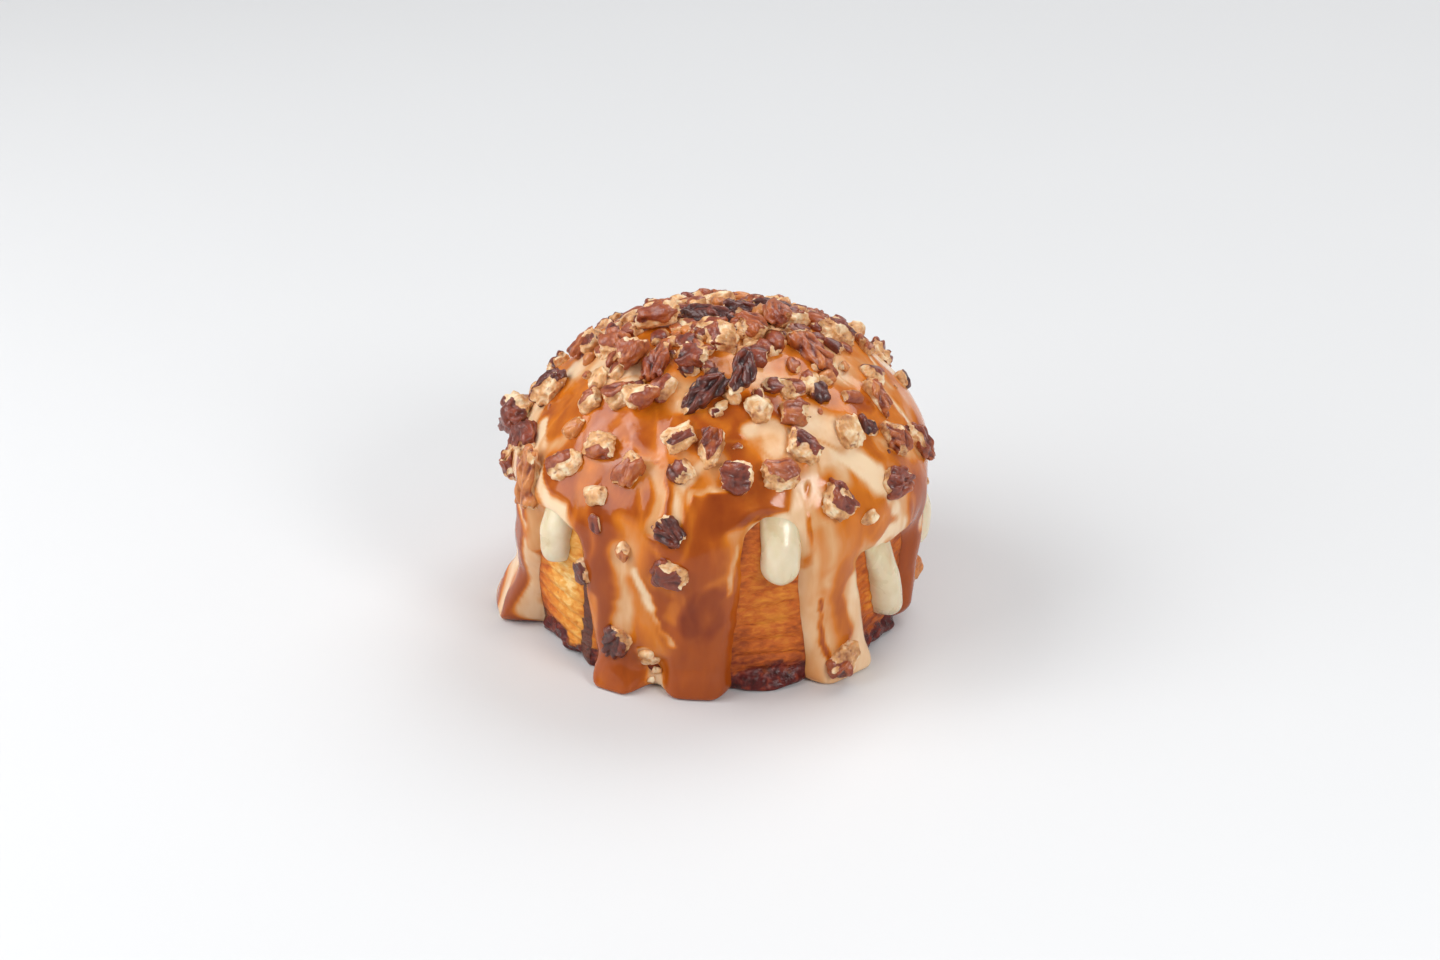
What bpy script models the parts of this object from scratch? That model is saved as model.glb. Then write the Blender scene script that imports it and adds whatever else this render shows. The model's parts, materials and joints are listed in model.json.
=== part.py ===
"""Sticky bun: a rolled sweet dough bun under a dome of caramel and cream icing that runs down its sides,
with cream tongues hanging below the coat and chopped pecans set all over it.

The bun stands on its flat foot at the origin, +Z is up and its front faces -Y. Metres throughout.
An azimuth is measured in degrees round +Z from the front, positive towards +X.
"""

import math
import random

import bmesh
import bpy
from mathutils import Matrix, Vector, noise
from mathutils.bvhtree import BVHTree

MM = 0.001
GAP = 0.3 * MM  # clearance between pieces that touch

# Dough
FOOT_RADIUS = 49.4 * MM
WAIST_RADIUS = 53.6 * MM
WAIST_HEIGHT = 40.0 * MM
DOUGH_HEIGHT = 79.3 * MM
SIDE_BEND = 1.45  # how the side swells from the foot to the waist
FOOT_ROUNDING = 1.6 * MM
FOOT_ROUNDING_HEIGHT = 3.0 * MM
FOOT_FLATNESS = 0.25 * MM  # points lower than this belong to the flat foot
BUN_LUMP = 1.4 * MM  # slow unevenness of the whole bun
BUN_LUMP_SPAN = 36.0 * MM

# Relief of the bare dough: flaky layers, the lip of the outer turn and burnt sugar round the foot
LAYER_STEP = 5.2 * MM
LAYER_DEPTH = 1.0 * MM
LAYER_WANDER = 3.0 * MM
LIP_STEP = 1.5 * MM
LIP_FADE = 16.0  # degrees
RIM_HEIGHT = 7.0 * MM
RIM_LUMP = 2.6 * MM
RIM_LUMP_SPAN = 5.0 * MM
RIM_SWELL = 0.45  # part of the lump by which the whole rim stands out
RELIEF_FADE = (-3.5 * MM, 0.5 * MM)  # the relief dies away between these distances inside the coat's edge

# Cinnamon filling, a sheet rolled up with the dough. Its outer end shows as the seam left of the front.
FILLING_THICKNESS = 1.8 * MM
SEAM_AZIMUTH = -34.0
SEAM_SWEEP = 42.0  # degrees over which the sheet dives under the outer turn of dough
SEAM_RADIUS = 57.0 * MM
ROLL_RADIUS = 41.0 * MM
ROLL_PITCH = 14.0 * MM  # the roll closes in by this much each turn
ROLL_START = -20.0
ROLL_SWEEP = 380.0
ROLL_STEP = 20.0
SHEET_FOOT = -5.0 * MM  # the sheet is drawn past the bun, whose shape then trims it
SHEET_TOP = 95.0 * MM
SLOT_PAST_ENDS = 1.5  # degrees

# Coat of icing
COAT_THICKNESS = 2.9 * MM
EDGE_BEAD = 3.6 * MM  # width over which the coat's edge rounds off
EDGE_DIP = 4.0 * MM  # past its edge the coat's surface dives this far under the dough
COAT_BLEND = 7.0 * MM  # fillet between the coat and the runs that leave it
POOL_HEIGHT = 9.0 * MM  # a run's foot spreads over this height, if it isn't given its own
POOL_FALL = 1.4  # how hollow the slope of a foot is
CORNER_HEIGHT = 4.5 * MM  # a landed run's two corners round off over this height
CORNER_ROUNDING = 2.4 * MM
POOL_WIDENING = 0.4  # part of the spread by which the band itself widens at its foot
POOL_SHOULDER = (-0.5 * MM, 5.0 * MM)  # distances inside the band between which the spread sets in
POOL_ROUNDING = 1.6 * MM
SWELL_HEIGHT = 12.0 * MM  # a swollen end begins this far above its tip
SWELL_SHOULDER = 2.0 * MM
COAT_LUMP = 0.9 * MM
COAT_LUMP_SPAN = 12.0 * MM
LOBE_AZIMUTH = -51.0  # a fat lobe of cream on the left of the front
LOBE_HEIGHT = 51.0 * MM
LOBE_SPAN = 9.0 * MM
LOBE_SWELL = 1.8 * MM

# Lower edge of the coat between its runs: azimuth in degrees, height in millimetres
COAT_EDGE = (
    (-180, 41),
    (-148, 46),
    (-112, 37),
    (-88, 40),
    (-52, 43),
    (-18, 38),
    (12, 51),
    (34, 40),
    (50, 34),
    (66, 34),
    (89, 29),
    (128, 38),
    (156, 47),
    (180, 41),
)

TONGUE_ROOT = 0.4  # thickness of a tongue's upper end, which lies under the coat, over that of its tip
TONGUE_FILLING = (0.0, 0.6)  # parts of its length between which a tongue reaches its full thickness
TONGUE_FULLNESS = 0.6  # below 1 a tongue stays thick close to its tip

# Mesh steps
AZIMUTHS = 180
CROWN_RINGS = 34
SIDE_RINGS = 32
TONGUE_RINGS = 8
TONGUE_SIDES = 8
BUN_TRIANGLES = 1700
COAT_TRIANGLES = 2500
NUT_TRIANGLES = 56
FLAT_ANGLE = math.radians(0.6)  # faces this level with each other become one
SEW_DISTANCE = 0.002 * MM
SHARP_ANGLE = math.radians(40)
OUTSIDE = 200.0 * MM  # a ray from this far out starts clear of the whole bun
RAY_START = 20.0 * MM  # and from this far out clear of the coat under a piece

# Clearances, a little over the gap because a moved surface is thinner across its edges
FROM_BUN = 1.5 * GAP
FROM_COAT = 1.1 * GAP
FROM_PIECE = 1.3 * GAP

# Pecans
NUT_SINK = 0.30  # part of a piece's height that sits in the coat
NUT_HEIGHT = (0.62, 0.80)  # height of a piece over its width
NUT_SQUARENESS = 0.8  # below 1 the piece is blunter than an egg
NUT_LUMP = 0.30
NUT_LUMP_SPAN = 4.2 * MM
NUT_DRAW_SPAN = 50.0  # each piece takes its lumps from its own place in a field this wide
GROOVE_DEPTH = 0.42  # of a half's height
GROOVE_WIDTH = 0.34  # of its width
LOBE_TAPER = 0.32
LOBE_LEAN = 0.25
BREAK_PLACE = (0.30, 0.42)  # where a piece is broken off, in parts of its length from the middle
BREAK_SLANT = (-0.5, 0.5)
NUT_LIFT = 0.4 * MM  # a piece that meets another is lifted by steps until it lies on it
NUT_LIFTS = 14
BERRY = 8.6 * MM  # pieces from this length up are nodes, shorter ones are part of the coat


class Run:
    """A run of icing: a band down the side with a rounded end, or a foot that pools where it lands."""

    def __init__(self, top, bottom, top_width, bottom_width, end, pool=0.0, swell=0.0, rise=0.0):
        self.top = top  # azimuth at the waist
        self.bottom = bottom  # azimuth at the lower end
        self.top_width = top_width * MM
        self.bottom_width = bottom_width * MM
        self.end = end * MM  # height of the lower end, under the foot for a run that lands
        self.pool = pool * MM  # how far the foot spreads out
        self.swell = swell * MM  # extra thickness at the lower end
        self.rise = rise * MM or POOL_HEIGHT  # height at which the foot starts to spread


RUNS = (
    Run(-32, -30, 16, 14, -9, pool=6.2),
    Run(-18, -20, 18, 12, 11),
    Run(-5, -7.5, 20, 18, -9, pool=3.0),
    Run(31, 40, 17, 23, -10, pool=3.0),
    Run(72, 76, 12, 9, 1, swell=0.8),
    Run(-67, -88, 15, 21, -10, pool=9.4, rise=19),
    Run(116, 112, 15, 11, 17, swell=1.1),
    Run(150, 153, 18, 16, -9, pool=4.0),
    Run(-170, -172, 16, 12, 21, swell=1.1),
    Run(-128, -131, 19, 17, -9, pool=3.6),
)

# Tongues of plain cream: azimuth at the top and at the tip, height of the top and of the tip in
# millimetres, width and thickness in millimetres
TONGUES = (
    (-50.0, -51.0, 52, 30.5, 9.4, 5.4),
    (17.0, 16.4, 57, 34.0, 10.3, 5.0),
    (47.5, 59.5, 40, 10.0, 9.4, 5.0),
    (88.0, 88.5, 38, 17.5, 8.6, 4.6),
    (-150.0, -148.0, 52, 32.0, 9.2, 4.6),
)

# Pecan pieces of the front and the crown: azimuth, drop from the crown seen from the waist's centre,
# length and width in millimetres, turn from level, shape
PIECES = (
    (-8, 39, 17.0, 7.5, 48, "half"),
    (72, 33, 18.0, 8.0, 60, "half"),
    (-62, 81, 16.5, 8.0, -78, "half"),
    (12, 34, 14.0, 6.5, 67, "half"),
    (-125, 8, 15.0, 8.5, -75, "half"),
    (-42, 32, 13.5, 7.0, -62, "half"),
    (140, 29, 13.0, 6.5, 40, "half"),
    (72, 57, 12.0, 6.0, 72, "half"),
    (-94, 22, 13.5, 7.5, -86, "lobe"),
    (-138, 30, 12.0, 7.0, -10, "chunk"),
    (160, 18, 9.0, 7.0, 20, "half"),
    (60, 12, 11.0, 9.0, 85, "chunk"),
    (90, 18, 12.0, 6.5, 10, "lobe"),
    (113, 28, 13.0, 8.0, -75, "half"),
    (100, 42, 13.0, 9.0, -75, "chunk"),
    (39, 41, 11.0, 6.5, -15, "lobe"),
    (47, 60, 9.5, 6.5, 90, "chunk"),
    (64, 69, 11.5, 7.0, -65, "half"),
    (78, 76, 13.0, 7.0, -70, "half"),
    (28, 60, 10.5, 7.5, -50, "chunk"),
    (18, 66, 10.0, 8.5, -10, "chunk"),
    (5, 65, 9.0, 8.5, 0, "chunk"),
    (-3, 57, 11.0, 6.5, 73, "half"),
    (-14, 55, 9.0, 8.0, 39, "chunk"),
    (33, 76, 11.0, 8.5, -60, "chunk"),
    (56, 78, 12.0, 8.0, -20, "half"),
    (-91, 74, 14.0, 11.5, 30, "lobe"),
    (-74, 74, 10.5, 8.0, -30, "chunk"),
    (-94, 90, 15.0, 11.0, 80, "chunk"),
    (-50, 70, 11.5, 8.0, 40, "lobe"),
    (-41, 62, 10.0, 7.5, 10, "chunk"),
    (-28, 66, 10.0, 7.5, 76, "chunk"),
    (-83, 59, 12.0, 9.0, 75, "lobe"),
    (-46, 47, 10.0, 7.5, 35, "chunk"),
    (-32, 45, 10.5, 7.0, 35, "lobe"),
    (-78, 36, 11.0, 9.0, 30, "lobe"),
    (-57, 35, 10.0, 8.0, -60, "lobe"),
    (-20, 26, 9.0, 8.0, 10, "chunk"),
    (2, 15, 9.0, 9.0, 0, "chunk"),
    (-12, 91, 10.5, 8.0, -5, "lobe"),
    (-29, 115, 12.0, 8.0, 60, "half"),
    (-13, 80, 9.5, 6.5, -35, "half"),
    (36, 121, 11.5, 8.5, 60, "lobe"),
    (86, 120, 11.0, 9.0, 80, "lobe"),
    (-21, 37, 7.2, 7.0, 0, "chunk"),
    (-57, 53, 7.6, 6.5, 60, "chunk"),
    (37, 33, 7.6, 6.5, -20, "chunk"),
    (31, 49, 8.2, 7.0, -15, "chunk"),
    (17, 46, 8.2, 7.5, -10, "chunk"),
    (26, 24, 8.0, 7.0, -20, "chunk"),
    (-11, 64, 7.2, 6.4, -40, "chunk"),
    (-98, 38, 8.0, 6.0, -30, "chunk"),
    (56, 61, 7.4, 4.8, 85, "half"),
    (-55, 61, 7.0, 4.8, 80, "lobe"),
    (-36, 75, 7.0, 5.5, 20, "chunk"),
    (-38, 97, 7.4, 5.4, -60, "chunk"),
)

# The rest of the coat gets pieces by a rule: how many, the azimuths and drops they fall in, and their lengths
BACK_PIECES = (8, (106, 262), (38, 100), (9.0, 14.0))
BACK_BITS = (15, (100, 262), (34, 100), (6.0, 8.4))
CROWN_BITS = (24, (-180, 180), (4, 54), (6.4, 8.5))
FRONT_BITS = (3, (-60, 66), (56, 88), (4.6, 6.0))
SPACING = 0.42  # centres stay this part of the two lengths apart
SCATTER_WIDTHS = (0.6, 0.85)  # width of a piece over its length
SCATTER_SHAPES = ("half", "chunk", "lobe", "chunk")
SCATTER_TRIES = 60  # for each piece wanted
SEED = 7


def linear(colour):
    """Linear colour of a six-digit sRGB one."""
    channels = [int(colour[start : start + 2], 16) / 255 for start in (0, 2, 4)]
    return [c / 12.92 if c <= 0.04045 else ((c + 0.055) / 1.055) ** 2.4 for c in channels] + [1.0]


def material(name, colour, roughness):
    found = bpy.data.materials.new(name)
    found.use_nodes = True
    shader = found.node_tree.nodes["Principled BSDF"]
    shader.inputs["Base Color"].default_value = linear(colour)
    shader.inputs["Roughness"].default_value = roughness
    return found


def new_object(name, shape):
    """A mesh object in the scene from a bmesh, which is freed."""
    mesh = bpy.data.meshes.new(name)
    shape.to_mesh(mesh)
    shape.free()
    found = bpy.data.objects.new(name, mesh)
    bpy.context.scene.collection.objects.link(found)
    return found


def edit(obj):
    shape = bmesh.new()
    shape.from_mesh(obj.data)
    return shape


def write_back(obj, shape):
    shape.to_mesh(obj.data)
    shape.free()
    obj.data.update()


def apply_modifiers(obj):
    graph = bpy.context.evaluated_depsgraph_get()
    mesh = bpy.data.meshes.new_from_object(obj.evaluated_get(graph))
    obj.modifiers.clear()
    obj.data = mesh


def boolean(obj, other, operation):
    modifier = obj.modifiers.new(operation.title(), "BOOLEAN")
    modifier.operation = operation
    modifier.object = other
    apply_modifiers(obj)


def remove(obj):
    bpy.data.objects.remove(obj)


def grown(obj, distance):
    """A copy of the object with its surface moved outwards."""
    shape = edit(obj)
    shape.normal_update()
    moves = [(corner, corner.normal * distance * corner.calc_shell_factor()) for corner in shape.verts]
    for corner, move in moves:
        corner.co += move
    return new_object(obj.name + "_grown", shape)


def keep_largest(obj):
    """Drops the loose scraps that a cut leaves, and sews what it split."""
    shape = edit(obj)
    bmesh.ops.remove_doubles(shape, verts=shape.verts, dist=SEW_DISTANCE)
    bmesh.ops.dissolve_limit(shape, angle_limit=FLAT_ANGLE, verts=shape.verts, edges=shape.edges)
    bmesh.ops.triangulate(shape, faces=shape.faces)
    unseen = set(shape.verts)
    islands = []
    while unseen:
        island = {unseen.pop()}
        border = list(island)
        while border:
            corner = border.pop()
            fresh = {edge.other_vert(corner) for edge in corner.link_edges} & unseen
            unseen -= fresh
            island |= fresh
            border.extend(fresh)
        islands.append(island)
    islands.sort(key=len, reverse=True)
    for island in islands[1:]:
        bmesh.ops.delete(shape, geom=list(island), context="VERTS")
    write_back(obj, shape)


def thin_out(obj, triangles):
    """Fewer triangles, kept where the shape bends most."""
    modifier = obj.modifiers.new("Decimate", "DECIMATE")
    modifier.ratio = triangles / sum(len(face.vertices) - 2 for face in obj.data.polygons)
    apply_modifiers(obj)


def between(low, high, value):
    """0 at low, 1 at high, smooth in between and level outside."""
    share = min(max((value - low) / (high - low), 0.0), 1.0)
    return share * share * (3 - 2 * share)


def turn_between(first, second):
    return (first - second + 180) % 360 - 180


def heading(azimuth):
    angle = math.radians(azimuth)
    return Vector((math.sin(angle), -math.cos(angle), 0))


def outline_radius(height):
    """Radius of the dough's outline at a height."""
    if height > WAIST_HEIGHT:
        up = (height - WAIST_HEIGHT) / (DOUGH_HEIGHT - WAIST_HEIGHT)
        return WAIST_RADIUS * math.sqrt(1 - up * up)
    down = (WAIST_HEIGHT - height) / WAIST_HEIGHT
    return WAIST_RADIUS - (WAIST_RADIUS - FOOT_RADIUS) * down**SIDE_BEND


def outline_rings():
    """The dough's outline from the crown down to the foot: radius, height, and the way out of it."""
    dome = DOUGH_HEIGHT - WAIST_HEIGHT
    rings = []
    for step in range(1, CROWN_RINGS + 1):
        angle = math.pi / 2 * step / CROWN_RINGS
        out = Vector((math.sin(angle) / WAIST_RADIUS, math.cos(angle) / dome)).normalized()
        rings.append((WAIST_RADIUS * math.sin(angle), WAIST_HEIGHT + dome * math.cos(angle), out))
    for step in range(1, SIDE_RINGS + 1):
        height = WAIST_HEIGHT * (1 - step / SIDE_RINGS)
        rings.append((outline_radius(height), height, Vector((1, 0))))
    return rings


def dome(name, offset):
    """A closed body on the dough's outline, moved out by offset(azimuth, place) at each point."""
    shape = bmesh.new()
    crown = Vector((0, 0, DOUGH_HEIGHT))
    top = shape.verts.new(crown + Vector((0, 0, offset(0, crown))))
    loops = []
    for radius, height, out in outline_rings():
        loop = []
        for step in range(AZIMUTHS):
            azimuth = 360 * step / AZIMUTHS
            way = heading(azimuth)
            place = way * radius + Vector((0, 0, height))
            move = offset(azimuth, place)
            loop.append(shape.verts.new(place + (way * out.x + Vector((0, 0, out.y))) * move))
        loops.append(loop)
    foot = shape.verts.new((0, 0, 0))
    for step in range(AZIMUTHS):
        after = (step + 1) % AZIMUTHS
        shape.faces.new((top, loops[0][step], loops[0][after]))
        for upper, lower in zip(loops, loops[1:]):
            shape.faces.new((upper[step], lower[step], lower[after], upper[after]))
        shape.faces.new((foot, loops[-1][after], loops[-1][step]))
    bmesh.ops.recalc_face_normals(shape, faces=shape.faces)
    return new_object(name, shape)


def rest_on_foot(obj):
    """Makes the foot flat again after the mesh was thinned out."""
    for corner in obj.data.vertices:
        if corner.co.z < FOOT_FLATNESS:
            corner.co.z = 0.0


def bun_lump(place):
    return BUN_LUMP * noise.noise(place / BUN_LUMP_SPAN)


def run_margin(run, azimuth, height):
    """How far inside the run's band a point lies, negative outside it."""
    along = min(max((WAIST_HEIGHT - height) / (WAIST_HEIGHT - run.end), 0.0), 1.0)
    middle = run.top + (run.bottom - run.top) * between(0, 1, along)
    half = (run.top_width + (run.bottom_width - run.top_width) * along) / 2
    half += POOL_WIDENING * run.pool * (1 - between(0, run.rise, height))
    low = max(0.0, 1 - height / CORNER_HEIGHT)
    half -= CORNER_ROUNDING * (1 - math.sqrt(1 - low * low))
    across = math.radians(turn_between(azimuth, middle)) * WAIST_RADIUS
    beyond = max(0.0, run.end + half - height)
    return half - math.hypot(across, beyond)


def coat_edge(azimuth):
    """Height of the coat's lower edge where no run leaves it."""
    azimuth = turn_between(azimuth, 0)
    for (left, left_height), (right, right_height) in zip(COAT_EDGE, COAT_EDGE[1:]):
        if left <= azimuth <= right:
            share = between(left, right, azimuth)
            return (left_height + (right_height - left_height) * share) * MM
    return COAT_EDGE[0][1] * MM


def blend(first, second):
    """The larger of two margins, with a fillet where they are alike."""
    share = max(0.0, 1 - abs(first - second) / COAT_BLEND)
    return max(first, second) + share * share * COAT_BLEND / 4


def coat_margin(azimuth, place):
    """How far inside the coat's edge a point of the outline lies, negative on bare dough."""
    margin = place.z - coat_edge(azimuth)
    for run in RUNS:
        margin = blend(margin, run_margin(run, azimuth, place.z))
    return margin


def pool(azimuth, height):
    """How far the feet of the runs spread out at a height."""
    spread = 0.0
    for run in RUNS:
        if height < run.rise:
            inside = between(*POOL_SHOULDER, run_margin(run, azimuth, height))
            spread = max(spread, run.pool * inside * (1 - height / run.rise) ** POOL_FALL)
    low = max(0.0, 1 - height / POOL_ROUNDING)
    return spread - POOL_ROUNDING * (1 - math.sqrt(1 - low * low)) * min(1.0, spread / POOL_ROUNDING)


def coat_offset(azimuth, place):
    """Thickness of the coat over the dough, below zero where the dough is bare."""
    margin = coat_margin(azimuth, place)
    if margin <= 0:
        return bun_lump(place) + max(-EDGE_DIP, margin * 2 * COAT_THICKNESS / EDGE_BEAD)
    inside = 1 - min(1.0, margin / EDGE_BEAD)
    thickness = COAT_THICKNESS + COAT_LUMP * noise.noise(place / COAT_LUMP_SPAN)
    for run in RUNS:
        low = 1 - between(0, SWELL_HEIGHT, place.z - run.end)
        inward = between(-SWELL_SHOULDER, SWELL_SHOULDER, run_margin(run, azimuth, place.z))
        thickness += run.swell * low * inward
    lobe = heading(LOBE_AZIMUTH) * WAIST_RADIUS + Vector((0, 0, LOBE_HEIGHT))
    thickness += LOBE_SWELL * math.exp(-(((place - lobe).length / LOBE_SPAN) ** 2))
    return bun_lump(place) + thickness * (1 - inside * inside) + pool(azimuth, place.z)


def dough_relief(azimuth, place):
    """Flaky layers, the lip of the outer turn and the burnt sugar at the foot, on bare dough only."""
    bare = 1 - between(*RELIEF_FADE, coat_margin(azimuth, place))
    if bare == 0:
        return 0.0
    wander = LAYER_WANDER * noise.noise(place / (4 * LAYER_STEP))
    layer = LAYER_DEPTH * (abs(math.sin(math.pi * (place.z + wander) / LAYER_STEP)) - 1)
    past = turn_between(azimuth, SEAM_AZIMUTH)
    lip = LIP_STEP * math.exp(-abs(past) / LIP_FADE) * (-1 if past > 0 else 1)
    low = max(0.0, 1 - place.z / RIM_HEIGHT)
    rim = RIM_LUMP * low * (RIM_SWELL + noise.noise(place / RIM_LUMP_SPAN))
    return bare * (layer * (1 - low) + lip * between(0, RIM_HEIGHT, place.z) + rim)


def bun_offset(azimuth, place):
    low = max(0.0, 1 - place.z / FOOT_ROUNDING_HEIGHT)
    rounding = FOOT_ROUNDING * (1 - math.sqrt(1 - low * low))
    return bun_lump(place) + dough_relief(azimuth, place) - rounding


def roll_radius(sweep):
    """Distance of the rolled sheet from the bun's axis, by degrees of turn from its outer end."""
    dive = 1 - between(-SEAM_SWEEP, SEAM_SWEEP, sweep)
    return ROLL_RADIUS - ROLL_PITCH * sweep / 360 + 2 * (SEAM_RADIUS - ROLL_RADIUS) * dive


def rolled_sheet(name, thickness, past_ends=0.0):
    """The filling's sheet, taller than the bun. It can reach some degrees past both its ends."""
    shape = bmesh.new()
    rows = []
    steps = round((ROLL_SWEEP - ROLL_START) / ROLL_STEP)
    sweeps = [ROLL_START + ROLL_STEP * step for step in range(steps + 1)]
    if past_ends:
        sweeps = [sweeps[0] - past_ends] + sweeps + [sweeps[-1] + past_ends]
    for sweep in sweeps:
        way = heading(SEAM_AZIMUTH - sweep)
        row = []
        for side, height in ((0.5, SHEET_FOOT), (0.5, SHEET_TOP), (-0.5, SHEET_TOP), (-0.5, SHEET_FOOT)):
            out = way * (roll_radius(sweep) + side * thickness)
            row.append(shape.verts.new(out + Vector((0, 0, height))))
        rows.append(row)
    for before, after in zip(rows, rows[1:]):
        for corner in range(4):
            following = (corner + 1) % 4
            shape.faces.new((before[corner], after[corner], after[following], before[following]))
    shape.faces.new(rows[0])
    shape.faces.new(reversed(rows[-1]))
    bmesh.ops.recalc_face_normals(shape, faces=shape.faces)
    return new_object(name, shape)


def tongue(name, top, tip, top_height, tip_height, width, thickness):
    """A rounded drip of cream that lies on the dough, from under the coat down to its tip."""
    shape = bmesh.new()
    loops = []
    half = width * MM / 2
    length = (top_height - tip_height) * MM
    for step in range(1, TONGUE_RINGS):
        down = length * (1 - math.cos(math.pi * step / TONGUE_RINGS)) / 2
        height = top_height * MM - down
        azimuth = top + (tip - top) * down / length
        round_off = min(1.0, (length - down) / half, down / half)
        size = math.sqrt(1 - (1 - round_off) ** 2)
        way = heading(azimuth)
        across = way.cross(Vector((0, 0, 1)))
        middle = way * outline_radius(height) + Vector((0, 0, height))
        filled = TONGUE_ROOT + (1 - TONGUE_ROOT) * between(*TONGUE_FILLING, down / length)
        rise = thickness * MM * size**TONGUE_FULLNESS * filled
        loop = []
        for side in range(TONGUE_SIDES):
            angle = 2 * math.pi * side / TONGUE_SIDES
            out = way * (rise * math.sin(angle))
            loop.append(shape.verts.new(middle + across * (half * size * math.cos(angle)) + out))
        loops.append(loop)
    for before, after in zip(loops, loops[1:]):
        for side in range(TONGUE_SIDES):
            following = (side + 1) % TONGUE_SIDES
            shape.faces.new((before[side], after[side], after[following], before[following]))
    shape.faces.new(loops[0])
    shape.faces.new(reversed(loops[-1]))
    bmesh.ops.recalc_face_normals(shape, faces=shape.faces)
    return new_object(name, shape)


def pecan(name, kind, length, width, frame, draw):
    """A broken piece of pecan: a lobed half with a groove, a rounded lobe or a rough chunk."""
    shape = bmesh.new()
    bmesh.ops.create_icosphere(shape, subdivisions=2 if length > BERRY else 1, radius=1)
    height = width * draw.uniform(*NUT_HEIGHT)
    start = Vector([draw.uniform(0, NUT_DRAW_SPAN) for _ in range(3)])
    break_place = draw.uniform(*BREAK_PLACE)
    break_slant = draw.uniform(*BREAK_SLANT)
    for corner in shape.verts:
        x, y, z = (math.copysign(abs(part) ** NUT_SQUARENESS, part) for part in corner.co)
        if kind == "half" and z > 0:
            z *= 1 - GROOVE_DEPTH * math.exp(-((y / GROOVE_WIDTH) ** 2))
        if kind == "lobe":
            y *= 1 - LOBE_TAPER * x
            z *= 1 - LOBE_LEAN * x
        place = Vector((x * length / 2, y * width / 2, z * height / 2))
        place *= 1 + NUT_LUMP * noise.noise(place / NUT_LUMP_SPAN + start)
        if kind != "lobe":
            place.x = min(place.x, break_place * length + break_slant * place.z)
        if kind == "chunk":
            place.x = max(place.x, -break_place * length + break_slant * place.y)
        corner.co = place
    long = max(corner.co.x for corner in shape.verts) - min(corner.co.x for corner in shape.verts)
    wide = max(corner.co.y for corner in shape.verts) - min(corner.co.y for corner in shape.verts)
    shape.transform(Matrix.Diagonal((length / long, width / wide, 1, 1)))
    shape.transform(frame @ Matrix.Translation((0, 0, (0.5 - NUT_SINK) * height)))
    bmesh.ops.recalc_face_normals(shape, faces=shape.faces)
    return new_object(name, shape)


def resting_frame(surfaces, azimuth, drop, turn):
    """Place and directions of a piece on the bun: its length along x, the way out of the bun along z."""
    centre = Vector((0, 0, WAIST_HEIGHT))
    angle = math.radians(drop)
    way = heading(azimuth) * math.sin(angle) + Vector((0, 0, math.cos(angle)))
    hits = [surface.ray_cast(centre + way * OUTSIDE, -way) for surface in surfaces]
    place, out, _, _ = min(hits, key=lambda hit: hit[3])
    level = heading(azimuth + 90)
    out = (out + way).normalized()
    level = (level - out * level.dot(out)).normalized()
    up = out.cross(level)
    turned = math.radians(turn)
    along = level * math.cos(turned) + up * math.sin(turned)
    return Matrix.Translation(place) @ Matrix((along, out.cross(along), out)).transposed().to_4x4()


def scattered(rule, taken, draw):
    """Pieces drawn by a rule, clear of those already taken."""
    count, azimuths, drops, lengths = rule
    found = []
    for _ in range(count * SCATTER_TRIES):
        if len(found) == count:
            break
        azimuth = draw.uniform(*azimuths)
        drop = math.degrees(math.acos(draw.uniform(*(math.cos(math.radians(d)) for d in drops))))
        length = draw.uniform(*lengths)
        piece = (azimuth, drop, length, length * draw.uniform(*SCATTER_WIDTHS), draw.uniform(-90, 90))
        if all(apart(piece, other) > SPACING * (length + other[2]) * MM for other in taken + found):
            found.append(piece + (draw.choice(SCATTER_SHAPES),))
    return found


def apart(first, second):
    """Distance between two pieces along the coat."""
    ways = []
    for azimuth, drop, *_ in (first, second):
        angle = math.radians(drop)
        ways.append(heading(azimuth) * math.sin(angle) + Vector((0, 0, math.cos(angle))))
    return ways[0].angle(ways[1], 0.0) * WAIST_RADIUS


def surface_of(obj):
    return BVHTree.FromPolygons(
        [corner.co.copy() for corner in obj.data.vertices],
        [tuple(face.vertices) for face in obj.data.polygons],
    )


def flatten_under(piece, frame, surfaces):
    """Cuts the piece off flat where it would sink into what it lies on."""
    out = frame.col[2].to_3d()
    levels = []
    for corner in piece.data.vertices:
        for surface in surfaces:
            place, _, _, _ = surface.ray_cast(corner.co + out * RAY_START, -out)
            if place:
                levels.append((place - frame.translation).dot(out))
    shape = edit(piece)
    corners = shape.verts[:] + shape.edges[:] + shape.faces[:]
    plane = frame.translation + out * (max(levels) + FROM_BUN)
    cut = bmesh.ops.bisect_plane(shape, geom=corners, plane_co=plane, plane_no=out, clear_inner=True)
    rim = [part for part in cut["geom_cut"] if isinstance(part, bmesh.types.BMEdge)]
    bmesh.ops.contextual_create(shape, geom=rim)
    bmesh.ops.triangulate(shape, faces=shape.faces)
    bmesh.ops.recalc_face_normals(shape, faces=shape.faces)
    write_back(piece, shape)


def settle(piece, way, placed):
    """Lifts a piece until it is clear of those already placed, and says whether it is."""
    fat = grown(piece, FROM_PIECE)
    clear = False
    for _ in range(NUT_LIFTS):
        tree = surface_of(fat)
        clear = not any(tree.overlap(other) for other in placed)
        if clear:
            break
        for obj in (piece, fat):
            obj.data.transform(Matrix.Translation(way * NUT_LIFT))
    remove(fat)
    return clear


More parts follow.
